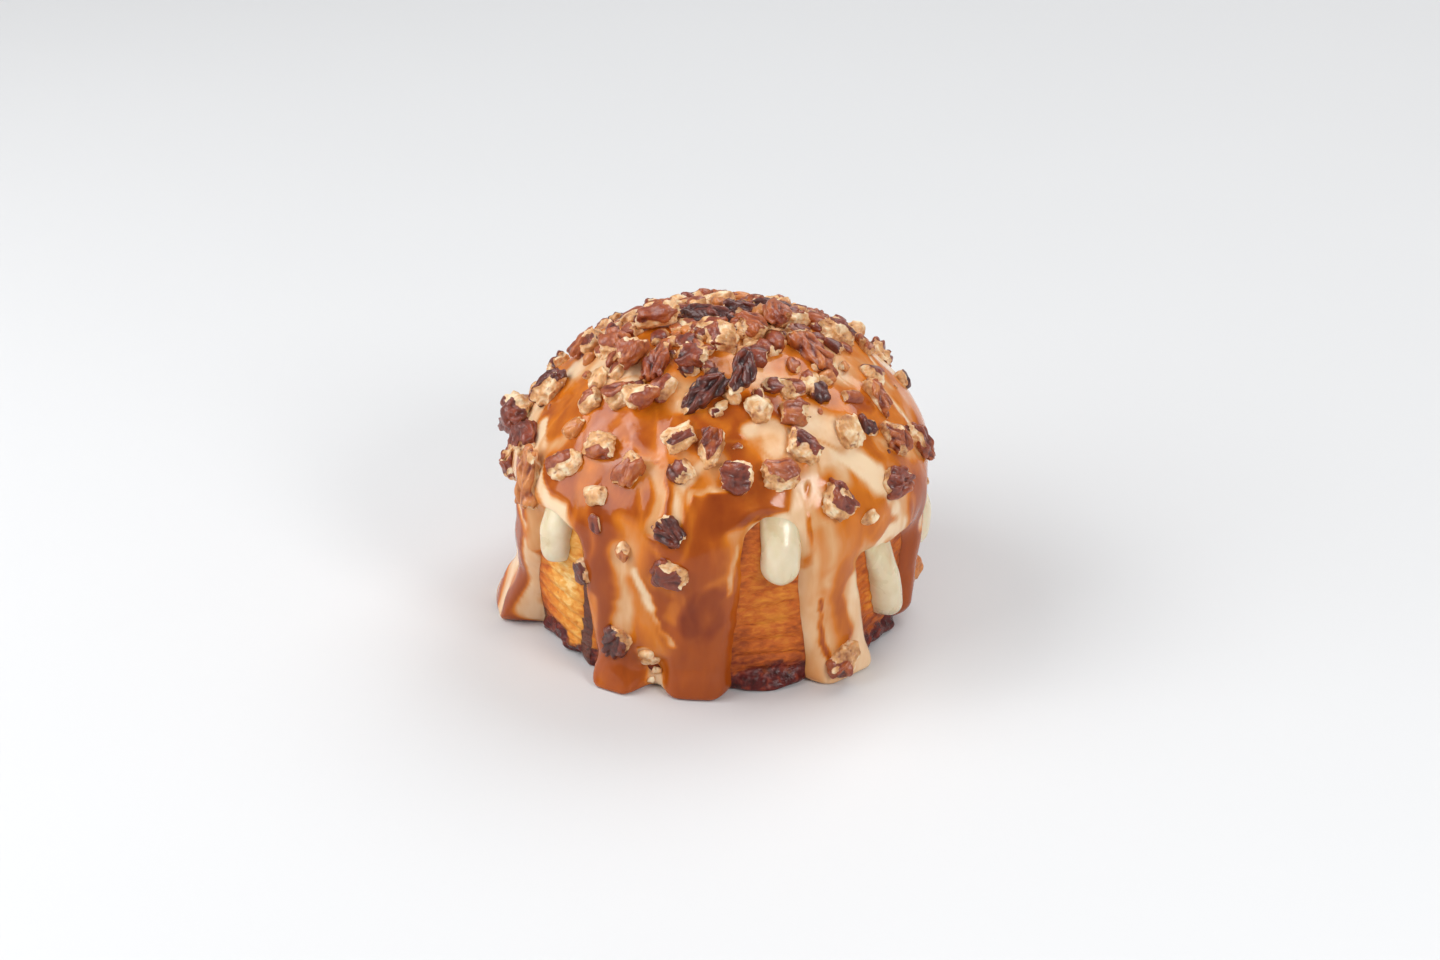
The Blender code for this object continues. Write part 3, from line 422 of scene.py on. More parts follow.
# Strokes are painted in this order, each over the last. Front first, from the crown down.
STROKES = (
    Stroke(0.58, 24, 12, (-32, 18), (-40, 23), (-76, 26)),
    Stroke(0.10, 10, 4, (-87, 51), (-80, 44), (-64, 42), (-52, 38)),
    Stroke(0.62, 6, 3, (-82, 56), (-77, 61), (-72, 66)),
    Stroke(0.15, 3, 1.5, (-86, 62), (-80, 68), (-72, 72), (-66, 76)),
    # The dome on the left, with its arc, its two pools and the cream at its edge
    Stroke(0.60, 23, 6, (-57, 62), (-44, 56), (-31, 55)),
    Stroke(0.58, 12, 5, (-58, 72), (-48, 71), (-36, 69), (-24, 70)),
    Stroke(0.70, 7, 4, (-30, 65), (-27, 58), (-20, 54), (-11, 49), (-4, 55)),
    Stroke(0.66, 9, 3, (-55, 77), (-46, 75), (-37, 74)),
    Stroke(0.64, 8, 3, (-29, 74), (-22, 74), (-18, 72)),
    Stroke(0.30, 4, 3, (-63, 71), (-58, 67), (-57, 62)),
    Stroke(0.05, 4.4, 1.5, (-72, 67), (-67, 71), (-63, 74), (-58, 78), (-52, 81), (-45, 83), (-41, 85)),
    Stroke(0.15, 1.3, 1.0, (-41, 85), (-38, 90), (-37, 97), (-36, 104), (-36, 112)),
    # Front sheet, down to its two toes
    Stroke(0.80, 13, 4, (-36, 80), (-32, 90), (-32, 111), (-33, 128)),
    Stroke(0.71, 18, 4, (-10, 78), (-7, 90), (-7, 108), (-7, 130)),
    Stroke(0.54, 3.5, 2, (-36, 104), (-37, 115), (-36, 124)),
    # Painted highlight: a thin pale line down the right edge of the front sheet
    Stroke(0.25, 1.3, 1.0, (4, 84), (3.5, 90), (2.5, 98)),
    Stroke(0.24, 5.5, 3.5, (-27, 88), (-25, 100), (-27, 112)),
    Stroke(0.48, 5, 3, (-23, 96), (-20, 107), (-18, 115)),
    Stroke(0.08, 2.8, 1.6, (-22, 92), (-20, 97), (-18.5, 103)),
    Stroke(0.10, 1.5, 1.2, (-18.5, 103), (-16.5, 108), (-14, 113.5)),
    Stroke(0.54, 4, 2.5, (-16, 94), (-11, 99), (-13, 105)),
    Stroke(0.90, 5, 2.5, (-8, 108), (-6.5, 100), (-2, 97)),
    Stroke(0.88, 4, 2.5, (-2, 98), (-1, 104), (-4.5, 112)),
    Stroke(0.76, 8, 5, (-6, 115), (-8, 124), (-1, 124), (-4, 130)),
    Stroke(0.64, 10, 4, (-38, 124), (-30, 129), (-22, 127)),
    Stroke(0.12, 3, 1.5, (-21, 117), (-20, 122), (-19, 127)),
    # Loops, lobes and ribbons at the front's shoulder
    Stroke(0.60, 8, 4, (-26, 52), (-13, 52), (-6, 57), (2, 55)),
    Stroke(0.68, 5, 3, (14, 42), (8, 50), (5, 58), (3.5, 65)),
    Stroke(0.32, 4, 3, (-12, 59), (-3, 62.5), (1, 60)),
    Stroke(0.28, 4.5, 2, (-25, 64), (-19, 64), (-17, 70), (-17, 76), (-18, 80)),
    Stroke(0.92, 0.9, 1.0, (-21, 62.5), (-16, 64), (-14.5, 70), (-15, 77), (-16, 81)),
    Stroke(0.72, 4, 2.5, (-13.5, 65), (-12.5, 72), (-13, 79)),
    Stroke(0.14, 3.0, 1.8, (-5, 61), (-9, 65), (-11, 69), (-12, 74), (-12.5, 77)),
    Stroke(0.84, 8, 4, (-6, 75), (-2, 72), (6, 72)),
    Stroke(0.64, 8, 3, (8, 72), (14, 71.5), (20, 72.8)),
    Stroke(0.86, 4, 3, (-2, 78), (5, 76.5), (11, 75.5)),
    Stroke(0.14, 1.5, 1.2, (-9.5, 74), (-8, 69.5), (-2, 67.5), (5, 68)),
    Stroke(0.12, 6, 3, (13, 52), (21, 52), (25, 57), (18, 60)),
    # Painted highlight: a peach patch on the caramel at the front's shoulder
    Stroke(0.20, 5, 3, (25, 70.5), (29, 67.5), (33, 64)),
    Stroke(0.58, 3.4, 2, (16, 72), (22, 73.6), (25.5, 76)),
    Stroke(0.04, 3.6, 1.6, (9.5, 79.5), (15, 77.9), (21, 77.4), (24.5, 81)),
    # Right of the middle, down to the broad run
    Stroke(0.50, 7, 3, (39, 47), (50, 53)),
    # Painted highlight: a pale band below the orange pool
    Stroke(0.16, 5, 3, (38, 50), (47, 57)),
    Stroke(0.10, 13, 5, (33, 58), (43, 62), (52, 68)),
    Stroke(0.50, 3.5, 2.5, (42, 66), (42, 74)),
    Stroke(0.24, 16, 3, (28, 79), (29, 95), (34, 112), (41, 130)),
    Stroke(0.14, 4, 2, (22, 70), (22, 78), (21, 86)),
    Stroke(0.60, 1.4, 1.2, (26, 70), (25, 78), (24, 84), (23, 92)),
    Stroke(0.36, 3.5, 3, (27, 84), (28, 93)),
    Stroke(0.40, 3, 3, (29, 101), (32, 110), (35, 118)),
    Stroke(0.52, 8, 4, (37, 80), (36.5, 88), (35, 95)),
    Stroke(0.62, 4.2, 2.5, (34.5, 94), (33, 104), (37, 116)),
    Stroke(0.54, 7, 3, (32, 77), (41, 78), (47, 79.5), (52, 83), (44, 86)),
    Stroke(0.12, 6, 2.5, (41, 100), (41, 110), (44, 123), (48, 130)),
    Stroke(0.07, 4, 2, (41, 106), (42, 99), (46, 93), (52, 91), (58, 91), (65, 93)),
    Stroke(0.76, 1.4, 1.0, (27.5, 103), (29, 112), (32, 120)),
    # Far right, with its streak of cream and the run beyond
    Stroke(0.58, 10, 4, (53, 67), (63, 73), (78, 82)),
    # Painted reflection: a pale peach window in the middle of the amber around it
    Stroke(0.28, 4, 2.5, (56, 67), (66, 72.5), (77, 78.5)),
    Stroke(0.66, 3, 2, (53, 74), (62, 78), (72, 83), (81, 87)),
    Stroke(0.03, 6.0, 2.5, (41, 64), (46, 70), (49, 75)),
    Stroke(0.04, 4.0, 2, (46, 71), (50, 76), (52, 80), (54, 84)),
    Stroke(0.06, 2.2, 1.4, (54, 83), (56, 87), (57.5, 91)),
    Stroke(0.72, 12, 3, (66, 87), (66, 95), (68, 106), (74, 128)),
    Stroke(0.14, 4, 2.5, (83, 83), (76, 91), (73, 97)),
    Stroke(0.48, 6, 3, (112, 52), (97, 58), (88, 65), (80, 72)),
    Stroke(0.12, 2, 1.5, (104, 50), (93, 56), (86, 61)),
    Stroke(0.10, 2, 1.4, (86, 53), (79, 60), (78, 65), (80, 72)),
    # The rope on the left and its striped foot
    Stroke(0.76, 8, 3, (-73, 78), (-68, 86), (-67, 94), (-69, 103)),
    Stroke(0.12, 1.8, 1.2, (-72, 86), (-64, 93), (-64, 101)),
    Stroke(0.12, 1.8, 1.2, (-76, 84), (-73, 92), (-74, 101)),
    Stroke(0.66, 6, 2, (-60, 104), (-60, 114), (-63, 126)),
    Stroke(0.16, 4, 1.2, (-64, 103), (-67, 112), (-70.5, 120), (-71, 127)),
    Stroke(0.76, 4.4, 1.2, (-69, 103), (-71.5, 112), (-75.3, 120), (-76, 127)),
    Stroke(0.08, 3.2, 1.2, (-74, 103), (-79, 113), (-79.6, 121), (-80, 127)),
    Stroke(0.70, 4, 1.5, (-80, 103), (-85, 113), (-85.5, 121), (-86, 127)),
    Stroke(0.12, 3, 1.5, (-86, 104), (-91, 113), (-92, 124)),
    Stroke(0.66, 4, 2, (-92, 106), (-98, 114), (-100, 124)),
    # Sides and back
    Stroke(0.75, 14, 5, (150, 60), (150, 90), (153, 128)),
    Stroke(0.15, 3, 2, (144, 70), (146, 95), (150, 126)),
    Stroke(0.78, 16, 5, (-128, 55), (-128, 90), (-131, 128)),
    Stroke(0.10, 3, 2, (-136, 66), (-133, 90), (-135, 118)),
    Stroke(0.98, 3, 2, (-126, 86), (-127, 104), (-128, 122)),
    Stroke(0.12, 9, 4, (106, 60), (114, 78), (113, 100)),
    Stroke(0.70, 4, 3, (118, 74), (114, 92), (112, 110)),
    Stroke(0.80, 9, 4, (-168, 56), (-170, 84), (-172, 108)),
    Stroke(0.10, 10, 5, (172, 50), (-178, 66), (-160, 74)),
    Stroke(0.80, 12, 5, (130, 50), (160, 46), (-170, 44), (-140, 50)),
)


class DoughSettings(bpy.types.PropertyGroup):
    """Sizes and colours of the baked dough and its filling."""

    flake_depth: bpy.props.FloatProperty(
        name="Flake depth", description="How deep the thin flaky layers of the bare dough are",
        default=0.32 * MM, unit="LENGTH",
    )
    sugar_bead: bpy.props.FloatProperty(
        name="Sugar beads", description="How far beads of burnt sugar stand out at the foot",
        default=0.9 * MM, unit="LENGTH",
    )
    flake_pitch: bpy.props.FloatProperty(
        name="Flake pitch", description="Height of one thin flaky layer", default=1.1 * MM, unit="LENGTH",
    )
    gold: bpy.props.FloatVectorProperty(
        name="Gold", description="Palest baked dough", subtype="COLOR", size=4, default=linear("eaac52"),
    )
    crust: bpy.props.FloatVectorProperty(
        name="Crust", description="Main orange-brown of the crust", subtype="COLOR", size=4,
        default=linear("c4621c"),
    )
    scorched: bpy.props.FloatVectorProperty(
        name="Scorched", description="Burnt sugar round the foot", subtype="COLOR", size=4,
        default=linear("3c120e"),
    )
    filling: bpy.props.FloatVectorProperty(
        name="Filling", description="Cinnamon filling", subtype="COLOR", size=4, default=linear("4a1f13"),
    )


class IcingSettings(bpy.types.PropertyGroup):
    """Relief and colours of the icing and the cream."""

    flow_depth: bpy.props.FloatProperty(
        name="Flow depth", description="Relief of the folds that the icing dried in",
        default=1.0 * MM, unit="LENGTH",
    )
    run_swell: bpy.props.FloatProperty(
        name="Run swell", description="How far the middle of a run stands over its edges", default=1.1 * MM,
        unit="LENGTH",
    )
    syrup_step: bpy.props.FloatProperty(
        name="Syrup step", description="How far the caramel stands over the cream", default=0.5 * MM,
        unit="LENGTH",
    )
    cream: bpy.props.FloatVectorProperty(
        name="Cream", description="Icing with no caramel in it", subtype="COLOR", size=4,
        default=linear("f4d6b0"),
    )
    toffee: bpy.props.FloatVectorProperty(
        name="Toffee", description="Cream with some caramel in it", subtype="COLOR", size=4,
        default=linear("dca068"),
    )
    amber: bpy.props.FloatVectorProperty(
        name="Amber", description="Thin caramel", subtype="COLOR", size=4, default=linear("d2761c"),
    )
    caramel: bpy.props.FloatVectorProperty(
        name="Caramel", description="Main caramel", subtype="COLOR", size=4, default=linear("a84e10"),
    )
    deep: bpy.props.FloatVectorProperty(
        name="Deep caramel", description="Thickest and darkest caramel", subtype="COLOR", size=4,
        default=linear("803007"),
    )
    ivory: bpy.props.FloatVectorProperty(
        name="Ivory", description="Plain cream of the tongues", subtype="COLOR", size=4,
        default=linear("dcc9a2"),
    )


class PecanSettings(bpy.types.PropertyGroup):
    """Relief and colours of the pecans."""

    wrinkle_depth: bpy.props.FloatProperty(
        name="Wrinkle depth", description="Depth of the wrinkles in the skin", default=0.5 * MM,
        unit="LENGTH",
    )
    wrinkle_pitch: bpy.props.FloatProperty(
        name="Wrinkle pitch", description="Distance between two wrinkles", default=2.3 * MM, unit="LENGTH",
    )
    crumble: bpy.props.FloatProperty(
        name="Crumble", description="Roughness of the broken flesh", default=0.24 * MM, unit="LENGTH",
    )
    flesh: bpy.props.FloatVectorProperty(
        name="Flesh", description="Broken flesh", subtype="COLOR", size=4, default=linear("dfa76c"),
    )
    dark_skin: bpy.props.FloatVectorProperty(
        name="Dark skin", description="Darkest skin", subtype="COLOR", size=4, default=linear("4e1f18"),
    )
    red_skin: bpy.props.FloatVectorProperty(
        name="Red skin", description="Reddish skin", subtype="COLOR", size=4, default=linear("b05c2c"),
    )
    orange_skin: bpy.props.FloatVectorProperty(
        name="Orange skin", description="Lightest, most toasted skin", subtype="COLOR", size=4,
        default=linear("d08444"),
    )


class StageSettings(bpy.types.PropertyGroup):
    """Floor, lights and camera."""

    floor: bpy.props.FloatVectorProperty(
        name="Floor", description="Colour of the floor", subtype="COLOR", size=4, default=linear("dadbdc"),
    )
    key: bpy.props.FloatProperty(
        name="Key light", description="Power of the large light from the upper right", default=6.6,
        unit="POWER",
    )
    windows: bpy.props.FloatProperty(
        name="Windows", description="Power of the soft lights that the icing mirrors", default=4.0,
        unit="POWER",
    )
    sky: bpy.props.FloatProperty(
        name="Room light", description="Strength of the even light all round", default=0.32,
    )


def between(low, high, value):
    """0 at low, 1 at high, smooth in between and level outside."""
    share = np.clip((value - low) / (high - low), 0, 1)
    return share * share * (3 - 2 * share)


def turn_between(first, second):
    return (first - second + 180) % 360 - 180


def noise_at(places, span, start=(0, 0, 0)):
    """Smooth noise at each place, from -1 to 1, read from a start of its own.

    The span is a number, or three for x, y and z.
    """
    scaled = places / np.array(span)
    start = Vector(start)
    return np.array([noise.noise(Vector(place) + start) for place in scaled])


def wander_at(places, span, amount, start=(0, 0, 0)):
    """The places, each moved a little by smooth noise, the same way in every run."""
    noise.seed_set(SEED)
    start = Vector(start)
    return places + amount * np.array([noise.noise_vector(Vector(place) / span + start) for place in places])


def under_tongues(azimuth, height):
    """1 where a tongue of cream lies on the dough, and 0 from a little way off it."""
    found = np.zeros(height.shape)
    for top, tip, top_height, tip_height, width, _ in TONGUES:
        down = np.clip((top_height * MM - height) / ((top_height - tip_height) * MM), 0, 1)
        across = np.radians(turn_between(azimuth, top + (tip - top) * down)) * WAIST_RADIUS
        below = np.maximum(0.0, (tip_height + width / 2) * MM - height)
        inside = width / 2 * MM - np.hypot(across, below)
        found = np.maximum(found, between(*TONGUE_CALM_EDGE, inside))
    return found


def outline_radius(height):
    """Radius of the dough's outline at heights."""
    up = np.clip((height - WAIST_HEIGHT) / (DOUGH_HEIGHT - WAIST_HEIGHT), 0, 1)
    down = np.clip((WAIST_HEIGHT - height) / WAIST_HEIGHT, 0, None)
    side = WAIST_RADIUS - (WAIST_RADIUS - FOOT_RADIUS) * down**SIDE_BEND
    return np.where(height > WAIST_HEIGHT, WAIST_RADIUS * np.sqrt(1 - up * up), side)


def bun_lump(places):
    return BUN_LUMP * noise_at(places, BUN_LUMP_SPAN)


def run_margin(run, azimuth, height):
    """How far inside the run's band points lie, negative outside it."""
    along = np.clip((WAIST_HEIGHT - height) / (WAIST_HEIGHT - run.end), 0, 1)
    middle = run.top + (run.bottom - run.top) * between(0, 1, along)
    half = (run.top_width + (run.bottom_width - run.top_width) * along) / 2
    half = half + POOL_WIDENING * run.pool * (1 - between(0, run.rise, height))
    low = np.clip(1 - height / CORNER_HEIGHT, 0, 1)
    half = half - CORNER_ROUNDING * (1 - np.sqrt(1 - low * low))
    across = np.radians(turn_between(azimuth, middle)) * WAIST_RADIUS
    beyond = np.maximum(0.0, run.end + half - height)
    return half - np.hypot(across, beyond)


def coat_edge(azimuth):
    """Height of the coat's lower edge where no run leaves it."""
    azimuth = turn_between(azimuth, 0)
    edge = np.full(azimuth.shape, float(COAT_EDGE[0][1]))
    for (left, left_height), (right, right_height) in zip(COAT_EDGE, COAT_EDGE[1:]):
        here = (azimuth >= left) & (azimuth <= right)
        share = between(left, right, azimuth)
        edge = np.where(here, left_height + (right_height - left_height) * share, edge)
    return edge * MM


def blend(first, second):
    """The larger of two margins, with a fillet where they are alike."""
    share = np.maximum(0.0, 1 - np.abs(first - second) / COAT_BLEND)
    return np.maximum(first, second) + share * share * COAT_BLEND / 4


def coat_margin(azimuth, height):
    """How far inside the coat's edge points of the outline lie, negative on bare dough."""
    margin = height - coat_edge(azimuth)
    for run in RUNS:
        margin = blend(margin, run_margin(run, azimuth, height))
    return margin


def pool(azimuth, height):
    """How far the feet of the runs spread out at heights."""
    spread = np.zeros(height.shape)
    for run in RUNS:
        inside = between(*POOL_SHOULDER, run_margin(run, azimuth, height))
        fall = np.maximum(0.0, 1 - height / run.rise) ** POOL_FALL
        spread = np.maximum(spread, run.pool * inside * fall)
    low = np.maximum(0.0, 1 - height / POOL_ROUNDING)
    return spread - POOL_ROUNDING * (1 - np.sqrt(1 - low * low)) * np.minimum(1.0, spread / POOL_ROUNDING)


def coat_offset(azimuth, places, margin):
    """Thickness of the coat over the dough's outline, below zero where the dough is bare."""
    height = places[:, 2]
    inside = 1 - np.clip(margin / EDGE_BEAD, 0, 1)
    thickness = COAT_THICKNESS + COAT_LUMP * noise_at(places, COAT_LUMP_SPAN)
    for run in RUNS:
        low = 1 - between(0, SWELL_HEIGHT, height - run.end)
        inward = between(-SWELL_SHOULDER, SWELL_SHOULDER, run_margin(run, azimuth, height))
        thickness = thickness + run.swell * low * inward
    lobe = heading(LOBE_AZIMUTH) * WAIST_RADIUS + Vector((0, 0, LOBE_HEIGHT))
    reach = np.linalg.norm(places - np.array(lobe), axis=1) / LOBE_SPAN
    thickness = thickness + LOBE_SWELL * np.exp(-(reach**2))
    covered = thickness * (1 - inside * inside) + pool(azimuth, height)
    bare = np.maximum(-EDGE_DIP, margin * 2 * COAT_THICKNESS / EDGE_BEAD)
    return bun_lump(places) + np.where(margin > 0, covered, bare)


def dough_relief(azimuth, places, margin):
    """Flaky layers, the lip of the outer turn and the burnt sugar at the foot, on bare dough only."""
    height = places[:, 2]
    bare = 1 - between(*RELIEF_FADE, margin)
    wander = LAYER_WANDER * noise_at(places, 4 * LAYER_STEP)
    layer = LAYER_DEPTH * (np.abs(np.sin(math.pi * (height + wander) / LAYER_STEP)) - 1)
    past = turn_between(azimuth, SEAM_AZIMUTH)
    lip = LIP_STEP * np.exp(-np.abs(past) / LIP_FADE) * np.where(past > 0, -1, 1)
    low = np.maximum(0.0, 1 - height / RIM_HEIGHT)
    rim = RIM_LUMP * low * (RIM_SWELL + noise_at(places, RIM_LUMP_SPAN))
    layer = layer * (1 - TONGUE_CALM * under_tongues(azimuth, height))
    return bare * (layer * (1 - low) + lip * between(0, RIM_HEIGHT, height) + rim)


def bun_offset(azimuth, places, margin):
    low = np.maximum(0.0, 1 - places[:, 2] / FOOT_ROUNDING_HEIGHT)
    rounding = FOOT_ROUNDING * (1 - np.sqrt(1 - low * low))
    return bun_lump(places) + dough_relief(azimuth, places, margin) - rounding


def roll_radius(sweep):
    """Distance of the rolled sheet from the bun's axis, by degrees of turn from its outer end."""
    dive = 1 - float(between(-SEAM_SWEEP, SEAM_SWEEP, sweep))
    return ROLL_RADIUS - ROLL_PITCH * sweep / 360 + 2 * (SEAM_RADIUS - ROLL_RADIUS) * dive


class Outline:
    """A new ball, with its points laid on the dough's outline from the crown to the flat foot."""

    def __init__(self, name, columns, rings, crown_rings):
        self.obj = ball(name, columns, rings)
        crown_share = crown_rings / rings
        side_share = (rings - FOOT_RINGS) / rings
        unit = places_of(self.obj)
        unit /= np.linalg.norm(unit, axis=1)[:, None]
        down = np.arccos(np.clip(unit[:, 2], -1, 1)) / math.pi
        self.azimuth = azimuth_of(unit)
        self.way = ways_at(self.azimuth)[:, :2]
        self.foot = np.clip((1 - down) / (1 - side_share), 0, 1)
        dome = DOUGH_HEIGHT - WAIST_HEIGHT
        angle = np.clip(down / crown_share, 0, 1) * math.pi / 2
        fall = np.clip((down - crown_share) / (side_share - crown_share), 0, 1)
        on_crown = down < crown_share
        self.height = np.where(on_crown, WAIST_HEIGHT + dome * np.cos(angle), WAIST_HEIGHT * (1 - fall))
        self.height[self.height < 1e-9] = 0.0
        self.radius = np.where(on_crown, WAIST_RADIUS * np.sin(angle), outline_radius(self.height))
        self.out = np.stack((np.sin(angle) / WAIST_RADIUS, np.cos(angle) / dome), axis=1)
        self.out /= np.linalg.norm(self.out, axis=1)[:, None]
        self.out[~on_crown] = (1, 0)
        self.places = np.column_stack((self.way * self.radius[:, None], self.height))
        self.margin = coat_margin(self.azimuth, self.height)

    def moved(self, offset):
        """The outline's points moved out by an offset, with the foot kept flat."""
        radius = (self.radius + self.out[:, 0] * offset) * self.foot
        return np.column_stack((self.way * radius[:, None], self.height + self.out[:, 1] * offset))


def azimuth_of(places):
    return np.degrees(np.arctan2(places[:, 0], -places[:, 1]))


def ways_at(azimuth):
    """The level ways out of the bun at azimuths, one row each."""
    return np.column_stack((np.sin(np.radians(azimuth)), -np.cos(np.radians(azimuth)), 0 * azimuth))


def select_only(*objects):
    bpy.ops.object.select_all(action="DESELECT")
    for obj in objects:
        obj.select_set(True)
    bpy.context.view_layer.objects.active = objects[0]


def rows_of(items, name):
    flat = np.empty(len(items) * 3, np.float32)
    items.foreach_get(name, flat)
    return flat.reshape(-1, 3).astype(float)


def places_of(obj):
    """The places of an object's points, one row each."""
    return rows_of(obj.data.vertices, "co")


def normals_of(obj):
    """The ways that an object's points face, one row each."""
    return rows_of(obj.data.vertex_normals, "vector")


def set_places(obj, places):
    obj.data.vertices.foreach_set("co", places.astype(np.float32).ravel())
    obj.data.update()


def paint(obj, name, values):
    """Stores one value for each point, for the material to read."""
    layer = obj.data.attributes.get(name) or obj.data.attributes.new(name, "FLOAT", "POINT")
    layer.data.foreach_set("value", np.asarray(values, np.float32))


def grid(name, columns, rows):
    """A flat square grid, from -1 to 1 both ways."""
    bpy.ops.object.select_all(action="DESELECT")
    bpy.ops.mesh.primitive_grid_add(x_subdivisions=columns, y_subdivisions=rows, size=2)
    found = bpy.context.object
    found.name = found.data.name = name
    return found


def ball(name, columns, rings):
    """A closed ball, rolled up from a grid and sewn at its seam and its poles."""
    found = grid(name, columns, rings)
    flat = places_of(found)
    turn = flat[:, 0] * math.pi
    down = (1 - flat[:, 1]) * math.pi / 2
    rolled = np.column_stack((np.sin(down) * np.cos(turn), np.sin(down) * np.sin(turn), np.cos(down)))
    set_places(found, rolled * WAIST_RADIUS)
    bpy.ops.object.mode_set(mode="EDIT")
    bpy.ops.mesh.select_all(action="SELECT")
    bpy.ops.mesh.remove_doubles(threshold=0.001 * MM)
    bpy.ops.mesh.normals_make_consistent(inside=False)
    bpy.ops.object.mode_set(mode="OBJECT")
    return found


def copy_of(obj, name):
    found = bpy.data.objects.new(name, obj.data.copy())
    bpy.context.scene.collection.objects.link(found)
    return found


def remove(obj):
    mesh = obj.data
    bpy.data.objects.remove(obj)
    bpy.data.meshes.remove(mesh)


def apply_modifier(obj, kind, **settings):
    """Gives an object a modifier with its settings, and applies it."""
    modifier = obj.modifiers.new("Step", kind)
    for name, value in settings.items():
        setattr(modifier, name, value)
    select_only(obj)
    bpy.ops.object.modifier_apply(modifier=modifier.name)


def cut(obj, other, operation="DIFFERENCE"):
    """Cuts one closed piece by another, which stays as it is."""
    apply_modifier(obj, "BOOLEAN", operation=operation, solver="MANIFOLD", object=other)
    if not len(obj.data.polygons):
        raise RuntimeError(f"nothing is left of {obj.name} after its cut")


def keep_part_at(obj, index):
    """Keeps the connected part that a point belongs to."""
    select_only(obj)
    bpy.ops.object.mode_set(mode="EDIT")
    bpy.ops.mesh.select_mode(type="VERT")
    bpy.ops.mesh.select_all(action="DESELECT")
    bpy.ops.object.mode_set(mode="OBJECT")
    obj.data.vertices[index].select = True
    bpy.ops.object.mode_set(mode="EDIT")
    bpy.ops.mesh.select_linked()
    bpy.ops.mesh.select_all(action="INVERT")
    bpy.ops.mesh.delete(type="VERT")
    bpy.ops.object.mode_set(mode="OBJECT")


def finish_piece(obj, material, slot, *nodes, angle=60):
    """Smooths, paints and hands over a finished piece that stands for CAD nodes."""
    select_only(obj)
    bpy.ops.object.shade_smooth_by_angle(angle=math.radians(angle))
    obj.data.materials.clear()
    obj.data.materials.append(material)
    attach(obj, BODY)
    if nodes:
        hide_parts(*nodes)


def dough_ball(name, grow=0.0):
    """A closed ball of dough with all its relief. It can be a little fat, as a tool to cut with."""
    outline = Outline(name, *DOUGH_GRID)
    places, height = outline.places, outline.height
    settings = bpy.context.scene.sticky_bun_dough
    bare = 1 - between(*RELIEF_FADE, outline.margin)
    layers = flake_at(places, settings.flake_pitch) - 0.5
    layers = layers * (1 - under_tongues(outline.azimuth, height))
    offset = bun_offset(outline.azimuth, places, outline.margin)
    offset = offset + bare * settings.flake_depth * layers * between(*FLAKE_START, height)
    sugary = bare * (1 - between(*SUGAR_END, height)) * between(*SUGAR_START, height)
    offset = offset + sugary * settings.sugar_bead * noise_at(places, SUGAR_SPAN, (2, 2, 8))
    set_places(outline.obj, outline.moved(offset + grow))
    return outline.obj


def flake_at(places, pitch):
    """Thin torn layers that lie level round the bare dough, from about -1 to 1."""
    drawn = wander_at(places, *FLAKE_WANDER, (3, 8, 1))
    fine = noise_at(drawn, (FLAKE_SPAN, FLAKE_SPAN, 1.2 * pitch))
    torn = 1 - 2 * np.abs(noise_at(drawn, (TEAR_SPAN, TEAR_SPAN, 3 * pitch), (9, 2, 5)))
    pits = np.minimum(0.0, PIT_SHARE + noise_at(drawn, (PIT_SPAN, PIT_SPAN, pitch), (1, 7, 7)))
    return 0.6 * fine + 0.5 * torn + 3.0 * pits


def rolled_sheet(name, thickness):
    """The filling's sheet, taller than the bun, drawn as a strip and thickened."""
    steps = round((ROLL_SWEEP - ROLL_START) / ROLL_STEP)
    obj = grid(name, steps, 1)
    places = places_of(obj)
    sweeps = ROLL_START + (ROLL_SWEEP - ROLL_START) * (places[:, 0] + 1) / 2
    for row, sweep in zip(places, sweeps):
        top = row[1] > 0
        row[:] = heading(SEAM_AZIMUTH - sweep) * roll_radius(sweep)
        row[2] = SHEET_TOP if top else SHEET_FOOT
    set_places(obj, places)
    apply_modifier(obj, "SOLIDIFY", thickness=thickness, offset=0)
    return obj


class StickyBunDough(bpy.types.Operator):
    """Models the baked dough with its slot for the filling."""

    bl_idname = "sticky_bun.dough"
    bl_label = "Dough and Filling"

    def execute(self, context):
        settings = context.scene.sticky_bun_dough
        dough = dough_ball("dough")
        filling = rolled_sheet("filling", FILLING_THICKNESS)
        slot = rolled_sheet("slot", FILLING_THICKNESS + 2 * SLOT_CLEARANCE)
        cut(filling, dough, "INTERSECT")
        cut(dough, slot)
        remove(slot)
        keep_part_at(dough, int(np.argmax(np.abs(places_of(dough)).sum(axis=1))))

        places = places_of(dough)
        azimuth, height = azimuth_of(places), places[:, 2]
        paint(dough, "flake", 0.5 + 0.5 * flake_at(places, settings.flake_pitch))
        window = np.exp(-((turn_between(azimuth, GOLDEN_AZIMUTH) / GOLDEN_SPREAD) ** 2))
        paint(dough, "golden", 0.95 * window + 0.2 * noise_at(places, GOLDEN_SPAN))
        wavering = height + SCORCH_WAVER * noise_at(places, SCORCH_SPAN, (4, 4, 1))
        paint(dough, "scorch", 1 - between(*SCORCH_END, wavering))
        paint(dough, "shade", between(*SHADE_EDGE, coat_margin(azimuth, height)))
        # Painted shade: the bare dough darkens towards the foot
        paint(dough, "low_shade", 1 - between(*LOW_SHADE_END, height))
        finish_piece(dough, dough_material(settings), "baked_dough", "bun")
        finish_piece(filling, filling_material(settings), "cinnamon_filling", "cinnamon_filling")
        return {"FINISHED"}


